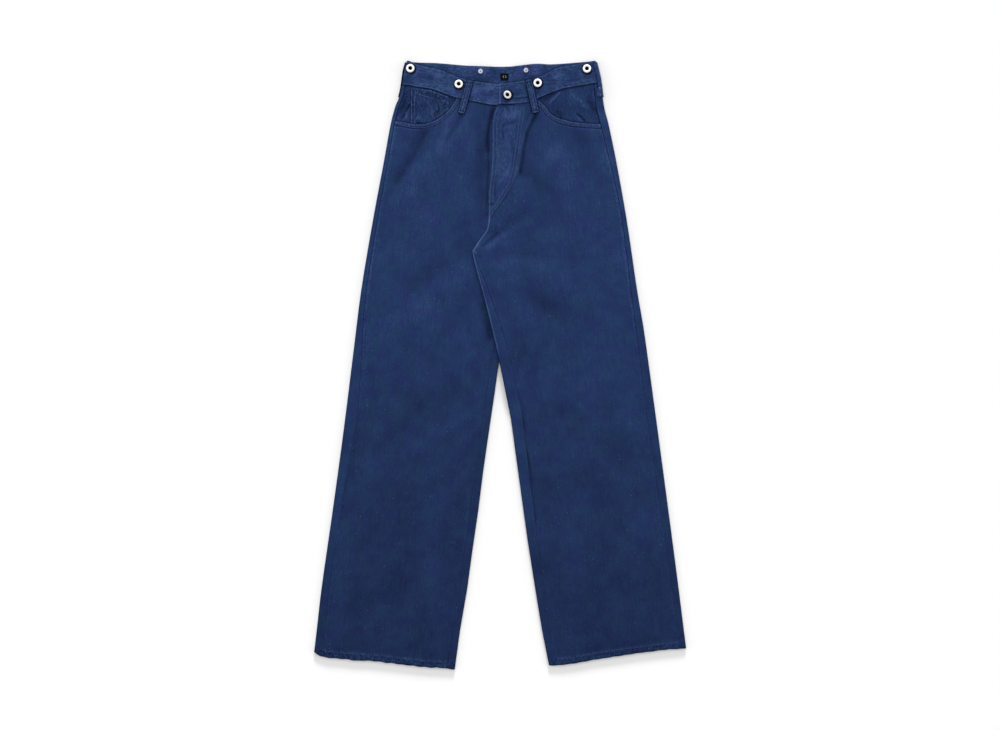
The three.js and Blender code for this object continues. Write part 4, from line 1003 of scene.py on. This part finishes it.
# Creases in the coin pocket: start x and y, end x and y, width, tone.
# These creases are only painted: shade in a crease below 0, highlight on a ridge above 0.
COIN_CREASES = [
    (-139, 476, -104, 465.5, 1.6, -0.6),
    (-128, 470, -103, 461, 1.2, -0.5),
    (-153, 478, -154.5, 430, 1.4, -0.5),
    (-146, 478, -148, 428, 1.8, -0.35),
    (-108, 458, -106.6, 445, 1.3, -0.6),
    (-94, 462, -99, 449, 1.5, -0.6),
    (-118, 439.5, -105, 441.5, 2.4, -0.7),
    (-150, 424, -130, 421, 2.4, -0.7),
    (-142, 458, -128, 448, 5, -0.3),
    (-128, 452, -112, 436, 6, 0.25),
    (-150, 440, -134, 426, 5, 0.2),
    (-116, 440, -104, 446, 3, -0.35),
]


def coin_top(x):
    return right.band_bottom(x) - COIN_BELOW_BAND


def coin_sheet():
    """The coin pocket, which lies on the right facing and runs down behind the pocket's edge."""
    def shape(u, v):
        x = lerp(COIN_LEFT, COIN_RIGHT, crowd(u, 0.02))
        y = lerp(coin_top(x), right.opening(x) - COIN_REACH_UNDER, crowd(v, 0.03))
        from_top, from_side = coin_top(x) - y, np.minimum(x - COIN_LEFT, COIN_RIGHT - x)
        from_edge = np.minimum(from_top, from_side)
        z = facing_top(right, x, y) + COIN_GAP + COIN_CLOTH + 0.15 * ripple(x * 2, y * 2)
        z = z - rolled(from_top) - rolled(from_side)
        z = z + pucker(from_side - 3, y, 4, 0.1) + pucker(from_top - 3, x, 4, 0.1)
        # Painted highlight on the raised rim, and painted shade in the groove beside it, at the edge, inside
        # the opening and in the creases.
        wear = bands(from_edge, COIN_EDGE_BANDS) - 0.8 * nearness(from_edge, 0.9)
        wear = wear + opening_shade(right, x, y) + creased(COIN_CREASES, x, y)
        return x, y, z, *grain(right, x, y), wear, 0.55 + 0.5 * nearness(from_edge - 8, 4)

    return sheet_mesh("cloth_coin_pocket", COIN_GRID, shape)


def front_face(x, y):
    """Highest face of the front at a place, across the waistband seam."""
    height = 0
    for side, here in ((right, x < left.band_front_end), (left, x >= left.band_front_end)):
        panel = front_top(side, x, y)
        on_band = y > side.band_bottom(x) - LOOP_OVER_SEAM
        height = height + np.where(here, np.where(on_band, np.maximum(band_top(side, x, y), panel), panel), 0)
    return height


def loop_sheet(name, x1, y1, x2, y2):
    """A loop that lies slanting on the front and arches a little over the waistband seam."""
    length = math.hypot(x2 - x1, y2 - y1)
    dx, dy = (x2 - x1) / length, (y2 - y1) / length

    def place(t, across):
        return lerp(x1, x2, t) - dy * across, lerp(y1, y2, t) + dx * across

    def shape(u, v):
        across = (crowd(u, 0.08) - 0.5) * LOOP_WIDTH
        under = [front_face(*place(v, spot)) for spot in (-LOOP_WIDTH / 2, 0, LOOP_WIDTH / 2)]
        rim = LOOP_WIDTH / 2 - np.abs(across)
        end = np.minimum(v, 1 - v) * length
        arch = LOOP_ARCH * np.sin(math.pi * v) ** 0.6
        z = np.maximum.reduce(under) + SEAM_GAP + arch + LOOP_CLOTH
        z = z - rolled(rim) - rolled(end, *LOOP_END_ROLL)
        z = z + 0.25 * ridge(rim, 1.6, 3.6) - 0.35 * ridge(end, 1.2, 3.5)
        # Painted highlight along the loop's raised middle and its folded end, painted shade in the grooves
        # beside them and at its edges.
        wear = bands(rim, LOOP_EDGE_BANDS) + bands(end, LOOP_END_BANDS)
        wear = wear - 0.9 * nearness(rim, 0.9) - 0.9 * nearness(end, 0.8)
        return *place(v, across), z, across, v * length, wear, np.full(np.shape(u), 0.7)

    return sheet_mesh(name, LOOP_GRID, shape)


def side_loop_sheet(side):
    """A loop folded round the side edge of the band, on the front where it shows and under the back."""
    r = SIDE_LOOP_LIFT + BAND_RADIUS
    start = math.radians(side.loop_start)
    reach = side.loop_reach + SIDE_LOOP_LIFT

    def shape(u, v):
        y = SIDE_LOOP_TOP - LOOP_LENGTH * v
        edge = side.outer(y) - side.inward * (SIDE_LOOP_LIFT + FOLD_GAP)
        front_run = reach - r if side.loop_start == 0 else 0
        arc = (math.pi - start) * r
        if side is left:
            front_run = front_run + 5 * ease((v - 0.72) / 0.06)
        length = u * (front_run + arc + reach - r) - front_run
        turn = start + np.clip(length / r, 0, math.pi - start)
        rest = np.maximum(-length, 0) + np.maximum(length - arc, 0)
        x = edge + side.inward * (r - r * np.sin(turn) + rest)
        z = r + r * np.cos(turn)
        # The right loop is painted shadow only, a dark sheet; on the left, painted highlight along the fold
        # and painted shade at its edges, its end and where it turns down the side.
        wear = np.full(np.shape(x), -1.6)
        if side is left:
            front_end = length + front_run
            wear = 0.25 * ridge(turn, 0.3, 0.5) - 0.9 * nearness(front_end, 1.1)
            wear = wear - 1.2 * nearness(1.75 - turn, 0.5) + 0.2 * ridge(front_end, 1, 2)
            wear = wear - 0.8 * nearness((1 - v) * LOOP_LENGTH, 1.4)
        return x, y, z, length, LOOP_LENGTH * v, wear, np.full(np.shape(x), 0.6)

    return sheet_mesh(f"cloth_loop_side_{side.name}", SIDE_LOOP_GRID, shape, flipped=side is right)


# Materials.


def srgb(red, green, blue):
    """A colour in a picture's own values, from 0 to 255, as light."""
    def light(c):
        c = c / 255
        return c / 12.92 if c <= 0.04045 else ((c + 0.055) / 1.055) ** 2.4
    return (light(red), light(green), light(blue), 1)


class Graph:
    """Adds and joins the nodes of one tree."""

    def __init__(self, tree):
        self.tree = tree

    def give(self, node, values):
        """Joins each socket among the values to the node's input, and sets the other inputs."""
        for key, value in values.items():
            if isinstance(value, bpy.types.NodeSocket):
                self.tree.links.new(value, node.inputs[key])
            else:
                node.inputs[key].default_value = value

    def node(self, kind, values=None, **settings):
        made = self.tree.nodes.new(kind)
        for key, value in settings.items():
            setattr(made, key, value)
        self.give(made, values or {})
        return made

    def place(self, kind):
        return self.node("ShaderNodeTexCoord").outputs[kind]

    def attribute(self, name):
        return self.node("ShaderNodeAttribute", attribute_name=name).outputs["Fac"]

    def math(self, operation, a, b=0.0, c=0.0):
        return self.node("ShaderNodeMath", {0: a, 1: b, 2: c}, operation=operation).outputs[0]

    def noise(self, vector, scale, detail=2.0, roughness=0.5):
        values = {"Vector": vector, "Scale": scale, "Detail": detail, "Roughness": roughness}
        return self.node("ShaderNodeTexNoise", values).outputs["Fac"]

    def ribs(self, vector, scale, distortion, across):
        values = {"Vector": vector, "Scale": scale, "Distortion": distortion}
        made = self.node("ShaderNodeTexWave", values, wave_type="BANDS", bands_direction=across)
        return made.outputs["Fac"]

    def spread(self, value, low, high, to_low=0.0, to_high=1.0):
        values = {"Value": value, "From Min": low, "From Max": high, "To Min": to_low, "To Max": to_high}
        return self.node("ShaderNodeMapRange", values).outputs["Result"]

    def stretch(self, vector, x, y, turn=0.0):
        values = {"Vector": vector, "Scale": (x, y, 1), "Rotation": (0, 0, turn)}
        return self.node("ShaderNodeMapping", values).outputs["Vector"]

    def mix(self, share, a, b):
        return self.node("ShaderNodeMix", {0: share, 6: a, 7: b}, data_type="RGBA").outputs[2]

    def bump(self, height, strength, distance):
        values = {"Height": height, "Strength": strength, "Distance": distance}
        return self.node("ShaderNodeBump", values).outputs["Normal"]


def new_group(name, inputs, outputs):
    tree = bpy.data.node_groups.new(name, "ShaderNodeTree")
    for label, kind, value in inputs:
        socket = tree.interface.new_socket(label, in_out="INPUT", socket_type=kind)
        if value is not None:
            socket.default_value = value
    for label, kind in outputs:
        tree.interface.new_socket(label, in_out="OUTPUT", socket_type=kind)
    return Graph(tree), tree.nodes.new("NodeGroupInput"), tree.nodes.new("NodeGroupOutput")


FLOAT, COLOR, VECTOR = "NodeSocketFloat", "NodeSocketColor", "NodeSocketVector"


def indigo_group():
    """Slub-spun indigo twill: streaks along the warp, flecks, washed patches, the weave's own diagonal, and
    rubbed ridges with painted shade and highlight from the mesh. Tone moves it towards its light or dark
    blue."""
    graph, given, made = new_group(
        "indigo_twill",
        [("Cloth", VECTOR, None), ("Object", VECTOR, None), ("Wear", FLOAT, 0), ("Pucker", FLOAT, 0),
         ("Tone", FLOAT, 0.5)],
        [("Color", COLOR), ("Roughness", FLOAT), ("Height", FLOAT)],
    )
    cloth, place = given.outputs["Cloth"], given.outputs["Object"]
    slub = graph.noise(graph.stretch(cloth, 620, 26), 1, 3, 0.6)
    fine = graph.noise(graph.stretch(cloth, 1500, 90), 1, 2, 0.6)
    weft = graph.noise(graph.stretch(cloth, 190, 420), 1, 3, 0.65)
    patch = graph.noise(place, 9, 3, 0.55)
    cloud = graph.noise(place, 34, 3, 0.6)
    tone = given.outputs["Tone"]
    for noise, reach in ((slub, 0.065), (fine, 0.055), (weft, 0.05), (patch, 0.055), (cloud, 0.04)):
        tone = graph.math("ADD", tone, graph.spread(noise, 0.3, 0.7, -reach, reach))
    split = graph.node("ShaderNodeSeparateXYZ", {0: place})
    tone = graph.math("ADD", tone, graph.spread(split.outputs["Y"], -0.53, 0.3, -0.235, 0.0))
    # Paler where rubbed, plus the painted shade and highlight from the mesh.
    worn_and_shaded = graph.math("MULTIPLY", given.outputs["Wear"], graph.spread(fine, 0.3, 0.7, 0.3, 0.6))
    tone = graph.math("ADD", tone, worn_and_shaded)
    bunched = graph.noise(graph.stretch(cloth, 340, 170, math.radians(38)), 1, 2, 0.55)
    bunched = graph.spread(bunched, 0.4, 0.62, -0.22, 0.22)
    tone = graph.math("MULTIPLY_ADD", bunched, given.outputs["Pucker"], tone)
    ramp = graph.node("ShaderNodeValToRGB", {0: tone})
    stops = ramp.color_ramp.elements
    stops[0].position, stops[0].color = 0.0, srgb(10, 17, 40)
    stops[1].position, stops[1].color = 1.0, srgb(70, 90, 138)
    middle = stops.new(0.5)
    middle.color = srgb(32, 51, 92)
    fleck_size = graph.noise(graph.stretch(cloth, 520, 360), 1, 1, 0.4)
    fleck = graph.spread(fleck_size, 0.74, 0.82, 0, 0.42)
    tint = graph.spread(graph.noise(place, 52, 3, 0.6), 0.34, 0.66, 0.49, 0.508)
    dyed = graph.node("ShaderNodeHueSaturation", {"Hue": tint, "Color": ramp.outputs["Color"]})
    colour = graph.mix(fleck, dyed.outputs["Color"], srgb(128, 146, 188))
    diagonal = graph.stretch(cloth, 1, 1, math.radians(32))
    twill = graph.ribs(diagonal, 420, 0.6, "X")
    height = graph.math("MULTIPLY_ADD", twill, 0.25, graph.math("MULTIPLY", slub, 0.9))
    height = graph.math("MULTIPLY_ADD", fine, 0.5, height)
    dents = graph.math("MULTIPLY", bunched, given.outputs["Pucker"])
    height = graph.math("MULTIPLY_ADD", dents, 5.0, height)
    rough = graph.spread(tone, 0.2, 0.9, 0.94, 0.8)
    graph.give(made, {"Color": colour, "Roughness": rough, "Height": height})
    return graph.tree


def new_material(name):
    material = bpy.data.materials.new(name)
    material.use_nodes = True
    return material, Graph(material.node_tree), material.node_tree.nodes["Principled BSDF"]


def cloth_material(name, tone):
    material, graph, shader = new_material(name)
    values = {"Cloth": graph.place("UV"), "Object": graph.place("Object"), "Wear": graph.attribute("wear"),
              "Pucker": graph.attribute("pucker"), "Tone": tone}
    twill = graph.node("ShaderNodeGroup", values, node_tree=INDIGO).outputs
    graph.give(shader, {
        "Base Color": twill["Color"],
        "Roughness": twill["Roughness"],
        "Normal": graph.bump(twill["Height"], 0.28, 0.0005),
        "Specular IOR Level": 0.07,
        "Sheen Weight": 0.03,
        "Sheen Roughness": 0.5,
        "Sheen Tint": srgb(120, 140, 190),
    })
    return material


INDIGO = indigo_group()


def thread_material(name, dark, light):
    """Twisted cotton thread."""
    material, graph, shader = new_material(name)
    place = graph.place("Object")
    mottle = graph.noise(place, 900, 2, 0.6)
    ply = graph.noise(place, 5200, 1, 0.5)
    graph.give(shader, {
        "Base Color": graph.mix(graph.spread(mottle, 0.3, 0.7), dark, light),
        "Roughness": graph.spread(mottle, 0.3, 0.7, 0.65, 0.85),
        "Normal": graph.bump(ply, 0.4, 0.0002),
    })
    return material


def enamel_material():
    """White enamel over metal, slightly orange-peeled and faintly greyed in places. The hole and the lower
    rim are near black, painted shade, in the hole partly the tack's own dark.
    """
    material, graph, shader = new_material("button_white")
    place = graph.place("Object")
    grime = graph.noise(place, 420, 4, 0.65)
    peel = graph.noise(place, 1500, 2, 0.5)
    shade_mask = graph.attribute("hollow")
    white = graph.mix(graph.spread(grime, 0.4, 0.8, 0, 0.4), srgb(253, 253, 254), srgb(228, 228, 232))
    # Near black for the painted shade in the hole and on the lower rim.
    dark = graph.mix(graph.spread(grime, 0.4, 0.6), srgb(1, 1, 2), srgb(8, 8, 10))
    graph.give(shader, {
        "Base Color": graph.mix(graph.spread(shade_mask, 0.35, 0.6), white, dark),
        "Roughness": graph.spread(grime, 0.3, 0.8, 0.22, 0.5),
        "Normal": graph.bump(peel, 0.15, 0.0002),
        "Coat Weight": graph.spread(shade_mask, 0.35, 0.6, 0.3, 0),
        "Specular IOR Level": graph.spread(shade_mask, 0.35, 0.6, 0.5, 0.02),
        "Coat Roughness": 0.12,
    })
    return material


def silver_material():
    """Satin silver, greyer in patches, with painted shade darkening the centre hole and the lower rim."""
    material, graph, shader = new_material("rivet_silver")
    grime = graph.noise(graph.place("Object"), 700, 4, 0.6)
    polish = graph.mix(graph.spread(grime, 0.3, 0.75), srgb(190, 200, 218), srgb(128, 138, 156))
    hollow = graph.spread(graph.attribute("hollow"), 0.35, 0.65, 0, 0.85)
    graph.give(shader, {
        "Base Color": graph.mix(hollow, polish, srgb(24, 30, 50)),
        "Roughness": graph.spread(grime, 0.3, 0.8, 0.28, 0.5),
        "Normal": graph.bump(grime, 0.2, 0.0002),
        "Metallic": 0.85,
    })
    return material


def tab_material():
    """Plain dark woven tape, ribbed across."""
    material, graph, shader = new_material("tab_dark")
    place = graph.place("UV")
    lint = graph.noise(place, 900, 2, 0.5)
    graph.give(shader, {
        "Base Color": graph.mix(graph.spread(lint, 0.35, 0.75), srgb(2, 3, 5), srgb(12, 13, 16)),
        "Roughness": graph.spread(lint, 0.3, 0.7, 0.7, 0.9),
        "Normal": graph.bump(graph.ribs(place, 520, 0.3, "Y"), 0.35, 0.0003),
        "Specular IOR Level": 0.08,
    })
    return material


THREAD = thread_material("thread_blue", srgb(58, 76, 120), srgb(96, 114, 158))
DARK_THREAD = thread_material("thread_dark", srgb(30, 44, 82), srgb(78, 96, 142))
RUST_THREAD = thread_material("thread_rust", srgb(52, 30, 58), srgb(74, 42, 66))
PALE_THREAD = thread_material("thread_pale", srgb(120, 126, 134), srgb(172, 178, 184))

# The look of each material slot; a cloth's tone is how light its blue is.
TONES = {"twill_front": 0.5, "twill_back": 0.52, "twill_band": 0.56, "twill_facing": 0.46, "twill_loop": 0.5}
LOOKS = {slot: cloth_material(slot, tone) for slot, tone in TONES.items()}
LOOKS.update(button_white=enamel_material(), rivet_silver=silver_material(), tab_dark=tab_material())

# Cloth pieces.
cloth = []
for side in (right, left):
    front = cloth_piece(front_sheet(side), f"front_panel_{side.name}", "twill_front", CLOTH)
    back = cloth_piece(back_sheet(side), f"back_panel_{side.name}", "twill_back", CLOTH)
    band = cloth_piece(band_sheet(side), f"waistband_{side.name}", "twill_band", BAND_CLOTH)
    facing = cloth_piece(facing_sheet(side), f"pocket_facing_{side.name}", "twill_facing", FACING_CLOTH)
    side_loop = cloth_piece(side_loop_sheet(side), f"belt_loop_side_{side.name}", "twill_loop", LOOP_CLOTH)
    cloth += [front, back, band, facing, side_loop]

coin = cloth_piece(coin_sheet(), "coin_pocket", "twill_facing", COIN_CLOTH)
loops = []
for side_name, x1, y1, x2, y2 in FRONT_LOOPS:
    mesh = loop_sheet(f"cloth_loop_front_{side_name}", x1, y1, x2, y2)
    loop = cloth_piece(mesh, f"belt_loop_front_{side_name}", "twill_loop", LOOP_CLOTH)
    loops.append(loop)
cloth += [coin, *loops]


def tree_of(piece):
    corners = [vertex.co.copy() for vertex in piece.data.vertices]
    return BVHTree.FromPolygons(corners, [tuple(face.vertices) for face in piece.data.polygons])


TREES = {piece.name: tree_of(piece) for piece in cloth}


def highest(x, y, names):
    """Where the top of the named pieces lies at a place, with its normal, in metres."""
    best = None
    for name in names:
        hit, normal, _, _ = TREES[name].ray_cast(Vector((x * MM, y * MM, 0.05)), Vector((0, 0, -1)))
        if hit and (best is None or hit.z > best[0].z):
            best = (hit, normal if normal.z > 0 else -normal)
    return best


# One stitch: its length, the step to the next, its radius, half the length that gives its direction, and how
# far its middle lies above the cloth as a share of the radius.
STITCH_LENGTH = 2.5
STITCH_STEP = 3.2
THREAD_RADIUS = 0.34
HALF_REACH = 0.4
MIDDLE_ABOVE = 0.25


def stitches(name, rows, onto, thread=THREAD):
    """Rows of single stitches, each a long bead that lies partly sunk in the cloth."""
    bm = bmesh.new()
    size = Matrix.Diagonal((STITCH_LENGTH / 2 * MM, THREAD_RADIUS * MM, THREAD_RADIUS * MM, 1))
    for route in rows:
        points = [Vector(point) for point in route]
        lengths = [(b - a).length for a, b in zip(points, points[1:])]
        total = sum(lengths)
        count = max(int(total / STITCH_STEP), 1)
        reach = np.concatenate([[0], np.cumsum(lengths)])
        places = (np.arange(count) + 0.5) * total / count
        middles, ahead, behind = [
            [np.interp(places + shift, reach, [point[axis] for point in points]) for axis in (0, 1)]
            for shift in (0, HALF_REACH, -HALF_REACH)
        ]
        for k in range(count):
            found = highest(middles[0][k], middles[1][k], onto)
            if found is None or found[0].z < THREAD_RADIUS * MM * 2:
                continue
            hit, normal = found
            along = Vector((ahead[0][k] - behind[0][k], ahead[1][k] - behind[1][k], 0))
            along = (along - normal * along.dot(normal)).normalized()
            turn = Matrix((along, normal.cross(along), normal)).transposed().to_4x4()
            place = Matrix.Translation(hit + normal * THREAD_RADIUS * MM * MIDDLE_ABOVE)
            bmesh.ops.create_icosphere(bm, subdivisions=1, radius=1, matrix=place @ turn @ size)
    return add_piece(name, mesh_of(name, bm), thread)


def line(curve, start, end, offset=0.0, step=2.0):
    """Points along a curve y(x), moved up by the offset."""
    xs = np.arange(start, end, step) if end > start else np.arange(start, end, -step)
    return [(float(x), float(curve(x)) + offset) for x in list(xs) + [end]]


def column(curve, top, bottom, offset=0.0, step=2.0):
    """Points down a curve x(y), moved sideways by the offset."""
    return [(float(curve(y)) + offset, float(y)) for y in list(np.arange(top, bottom, -step)) + [bottom]]


def beside(route, distance):
    """The same route moved sideways, to its left where the distance is above 0."""
    points = [np.array(point, float) for point in route]
    moved = []
    for i, point in enumerate(points):
        direction = points[min(i + 1, len(points) - 1)] - points[max(i - 1, 0)]
        direction = direction / np.hypot(*direction)
        moved.append(tuple(point + distance * np.array([-direction[1], direction[0]])))
    return moved


# The curved double row that closes the fly's facing.
J_ROUTE = [(42, 451), (29.8, 358.8), (21, 316.8), (12.3, 302.8), (2.8, 287.9), (-9.5, 270.6), (-18, 258)]
fly_rows = [column(fly_edge, 450, 206, 2.2), column(fly_edge, 446, 283, 8)]
j_curve = smooth([(y, x) for x, y in J_ROUTE])
j_line = [(float(j_curve(y)), float(y)) for y in np.arange(451, 258, -2)]
stitches("stitches_fly", fly_rows + [j_line, beside(j_line, -5)], ["cloth_front_left"])
for side in (right, left):
    onto = [f"cloth_front_{side.name}"]
    route = side.opening_route if side is right else side.opening_route[::-1]
    edge = line(smooth(route), route[0][0] + side.inward * 8, route[-1][0] - side.inward * 0.5, 0, 1.5)
    rows = [beside(edge, side.inward * -1.6), beside(edge, side.inward * -6.4)]
    stitches(f"stitches_pocket_{side.name}", rows, onto)
    hem_start = float(side.outer(side.outer_hem)) + side.inward * 14
    hem_end = float(side.inner(side.inner_hem)) - side.inward * 14
    hem_rows = [line(side.hem, hem_start, hem_end, 11)]
    stitches(f"stitches_hem_{side.name}", hem_rows, onto, DARK_THREAD)
    side_x = float(side.outer(505)) + side.inward * 4
    end_x = -5 if side is right else side.band_front_end + 2
    back_x = side.band_back_end - side.inward * 2
    rows = [line(side.band_top, end_x, side_x, -2), line(side.band_bottom, end_x, side_x, 2)]
    if side is left:
        rows.append([(end_x, float(side.band_top(end_x)) - 2), (end_x, float(side.band_bottom(end_x)) + 2)])
    rows.append(line(back_band_top, side_x, back_x, -2))
    rows.append(line(back_band_bottom, side.inward * -110, back_x, 3))
    stitches(f"stitches_band_{side.name}", rows, [f"cloth_band_{side.name}"])

coin_rows = [
    line(coin_top, -134, COIN_RIGHT - 1.5, -1.8),
    [(-143, 473.5), (-120, 467), (-101, 461.5)],
    [(-154, 483), (-155.2, 424)],
    [(-148, 481), (-150.6, 424)],
    [(COIN_RIGHT - 1.8, 466), (COIN_RIGHT - 6, 452)],
    [(-111, 458), (-109.7, 444.8)],
    [(-105.2, 457.2), (-103.4, 444.8)],
]
stitches("stitches_coin_pocket", coin_rows, ["cloth_coin_pocket"])
bar_rows = [[(-117.6, 439.3 + up), (-106, 441.3 + up)] for up in (-1.3, -0.5, 0.3, 1.1)]
stitches("stitches_coin_bar", bar_rows, ["cloth_coin_pocket"], RUST_THREAD)
loop_rows = []
for side_name, x1, y1, x2, y2 in FRONT_LOOPS:
    middle = [(lerp(x1, x2, t), lerp(y1, y2, t)) for t in np.linspace(0.02, 0.98, 20)]
    loop_rows += [beside(middle, 4.2), beside(middle, -4.2)]
    for t in (0.045, 0.955):
        spot = (lerp(x1, x2, t), lerp(y1, y2, t))
        loop_rows.append([(spot[0] - 4.5, spot[1] + 0.6), (spot[0] + 4.5, spot[1] - 0.6)])
stitches("stitches_loops", loop_rows, [loop.name for loop in loops])

frayed_rows = [[(173.2 + k * 0.6, 487 - k * 0.4), (174.4 + k * 0.6, 481.5 - k * 0.4)] for k in range(3)]
frayed_rows.append([(175.6, 474.4), (176.4, 471.6)])
frayed_onto = ["cloth_loop_side_left", "cloth_band_left"]
stitches("stitches_side_loop", frayed_rows, frayed_onto, PALE_THREAD)

# Buttons: a domed enamel ring round a dark sunk hole. Each row is a share of the radius and of the height.
BUTTON_PROFILE = [(0, 0), (0.6, 0), (0.84, 0.06), (0.96, 0.2), (1, 0.42), (0.97, 0.64), (0.88, 0.84),
                  (0.76, 0.97), (0.66, 1), (0.56, 0.96), (0.48, 0.85), (0.43, 0.68), (0.4, 0.42),
                  (0.36, 0.24), (0.3, 0.16), (0, 0.14)]
RIVET_PROFILE = [(0, 0), (0.96, 0), (1, 0.12), (1, 0.4), (0.93, 0.66), (0.8, 0.84), (0.62, 0.9),
                 (0.5, 0.84), (0.34, 0.8), (0.26, 0.9), (0.14, 1), (0, 1)]
RIVET_RADIUS = 4.75
RIVET_HEIGHT = 1.2
# The painted shade of the dark part: holes as shares of the radius, the rim as a share of the height, and
# the height above which a hole is dark.
BUTTON_HOLE = 0.42
RIVET_HOLE = 0.2
DARK_RIM = 0.7
HOLE_ABOVE = 0.2


def turned_mesh(name, profile, radius, height, hole):
    """A profile spun about +Z. Its hole and its underside are marked for the dark part, which paints shade
    there.
    """
    bm = bmesh.new()
    points = [bm.verts.new((share * radius * MM, 0, up * height * MM)) for share, up in profile]
    edges = [bm.edges.new(pair) for pair in zip(points, points[1:])]
    bmesh.ops.spin(bm, geom=points + edges, cent=(0, 0, 0), axis=(0, 0, 1), angle=2 * math.pi, steps=48,
                   use_merge=True)
    bmesh.ops.remove_doubles(bm, verts=bm.verts, dist=1e-6)
    bmesh.ops.recalc_face_normals(bm, faces=bm.faces)
    mesh = mesh_of(name, bm)
    shade_mask = []
    for vertex in mesh.vertices:
        in_hole = vertex.co.to_2d().length < hole * radius * MM and vertex.co.z > HOLE_ABOVE * MM
        shade_mask.append(in_hole or vertex.co.z < DARK_RIM * height * MM)
    mark_points(mesh, "hollow", shade_mask)
    return mesh


def hard_piece(mesh, place, node, slot):
    mesh.transform(place)
    add_piece(mesh.name, mesh, LOOKS[slot], [node])


for name, _, x, y, tilt in FRONT_BUTTONS:
    low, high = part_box(name)
    middle = Matrix.Translation((x * MM, y * MM, (low.z + high.z) / 2))
    turn = Matrix.Rotation(tilt, 4, Vector((1, -1, 0)).normalized())
    sunk = Matrix.Translation((0, 0, -BUTTON_HEIGHT / 2 * MM))
    mesh = turned_mesh(f"enamel_{name}", BUTTON_PROFILE, BUTTON_RADIUS, BUTTON_HEIGHT, BUTTON_HOLE)
    hard_piece(mesh, middle @ turn @ sunk, name, "button_white")
for side_name, x, y in BACK_BUTTONS:
    under = Matrix.Translation((x * MM, y * MM, BUTTON_HEIGHT * MM)) @ Matrix.Rotation(math.pi, 4, "X")
    mesh = turned_mesh(f"enamel_back_{side_name}", BUTTON_PROFILE, BUTTON_RADIUS, BUTTON_HEIGHT, BUTTON_HOLE)
    hard_piece(mesh, under, f"button_back_{side_name}", "button_white")
    low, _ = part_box(f"rivet_back_{side_name}")
    mesh = turned_mesh(f"silver_cap_{side_name}", RIVET_PROFILE, RIVET_RADIUS, RIVET_HEIGHT, RIVET_HOLE)
    inside = Matrix.Translation((x * MM, y * MM, low.z))
    hard_piece(mesh, inside, f"rivet_back_{side_name}", "rivet_silver")


def tab_sheet():
    """The size tab, lying on the inside of the band's back."""
    x0, y0, width, height, thick = TAB

    def shape(u, v):
        x = x0 + (crowd(u, 0.05) - 0.5) * width
        y = y0 - (crowd(v, 0.05) - 0.5) * height
        rim = np.minimum(width / 2 - np.abs(x - x0), height / 2 - np.abs(y - y0))
        z = back_band_inside(x, y) + SEAM_GAP + thick - rolled(rim, *TAPE_ROLL)
        return x, y, z, x, y, np.zeros(np.shape(x))

    return sheet_mesh("tape_tab", TAPE_GRID, shape)


tab = cloth_piece(tab_sheet(), "size_tab", "tab_dark", TAB[4])

# The plain number on the tab, from the middle of its height.
lettering = bpy.data.curves.new("number", "FONT")
lettering.body, lettering.size, lettering.extrude = "3 2", 0.0052, 0.00008
lettering.align_x, lettering.align_y = "CENTER", "CENTER"
lettering_object = bpy.data.objects.new("number", lettering)
number_mesh = bpy.data.meshes.new_from_object(lettering_object)
bpy.data.objects.remove(lettering_object)
number_rise = float(back_band_inside(TAB[0], TAB[1])) + SEAM_GAP + TAB[4] + 0.2
number_mesh.transform(Matrix.Translation((TAB[0] * MM, TAB[1] * MM, number_rise * MM)))
add_piece("tape_number", number_mesh, PALE_THREAD)

# Floor and light.
bm = bmesh.new()
bmesh.ops.create_grid(bm, x_segments=1, y_segments=1, size=6)
floor_mesh = mesh_of("floor", bm)
floor_mesh.transform(Matrix.Translation((0, 0, -0.0002)))
floor_material, graph, shader = new_material("floor_white")
graph.give(shader, {"Base Color": (0.9, 0.9, 0.9, 1), "Roughness": 0.9, "Specular IOR Level": 0.1})
floor_mesh.materials.append(floor_material)
floor = put("floor", floor_mesh)

world = bpy.data.worlds.new("studio")
world.use_nodes = True
background = world.node_tree.nodes["Background"]
Graph(world.node_tree).give(background, {"Color": (1, 1, 1, 1), "Strength": 0.5})
bpy.context.scene.world = world


def soft_sun(name, turn, rise, spread, strength):
    """A broad even light from the side that turn gives (0 is the waist end), rise above the floor."""
    data = bpy.data.lights.new(name, "SUN")
    data.energy = strength
    data.angle = math.radians(spread)
    a, e = math.radians(turn), math.radians(rise)
    toward = Vector((math.sin(a) * math.cos(e), math.cos(a) * math.cos(e), math.sin(e)))
    put(name, data).rotation_euler = toward.to_track_quat("Z", "Y").to_euler()


soft_sun("light_waist_end", 4, 16, 12, 3.0)
soft_sun("light_left", 90, 20, 26, 0.5)
soft_sun("light_right", -90, 20, 26, 0.5)
soft_sun("light_above", -30, 68, 60, 0.85)
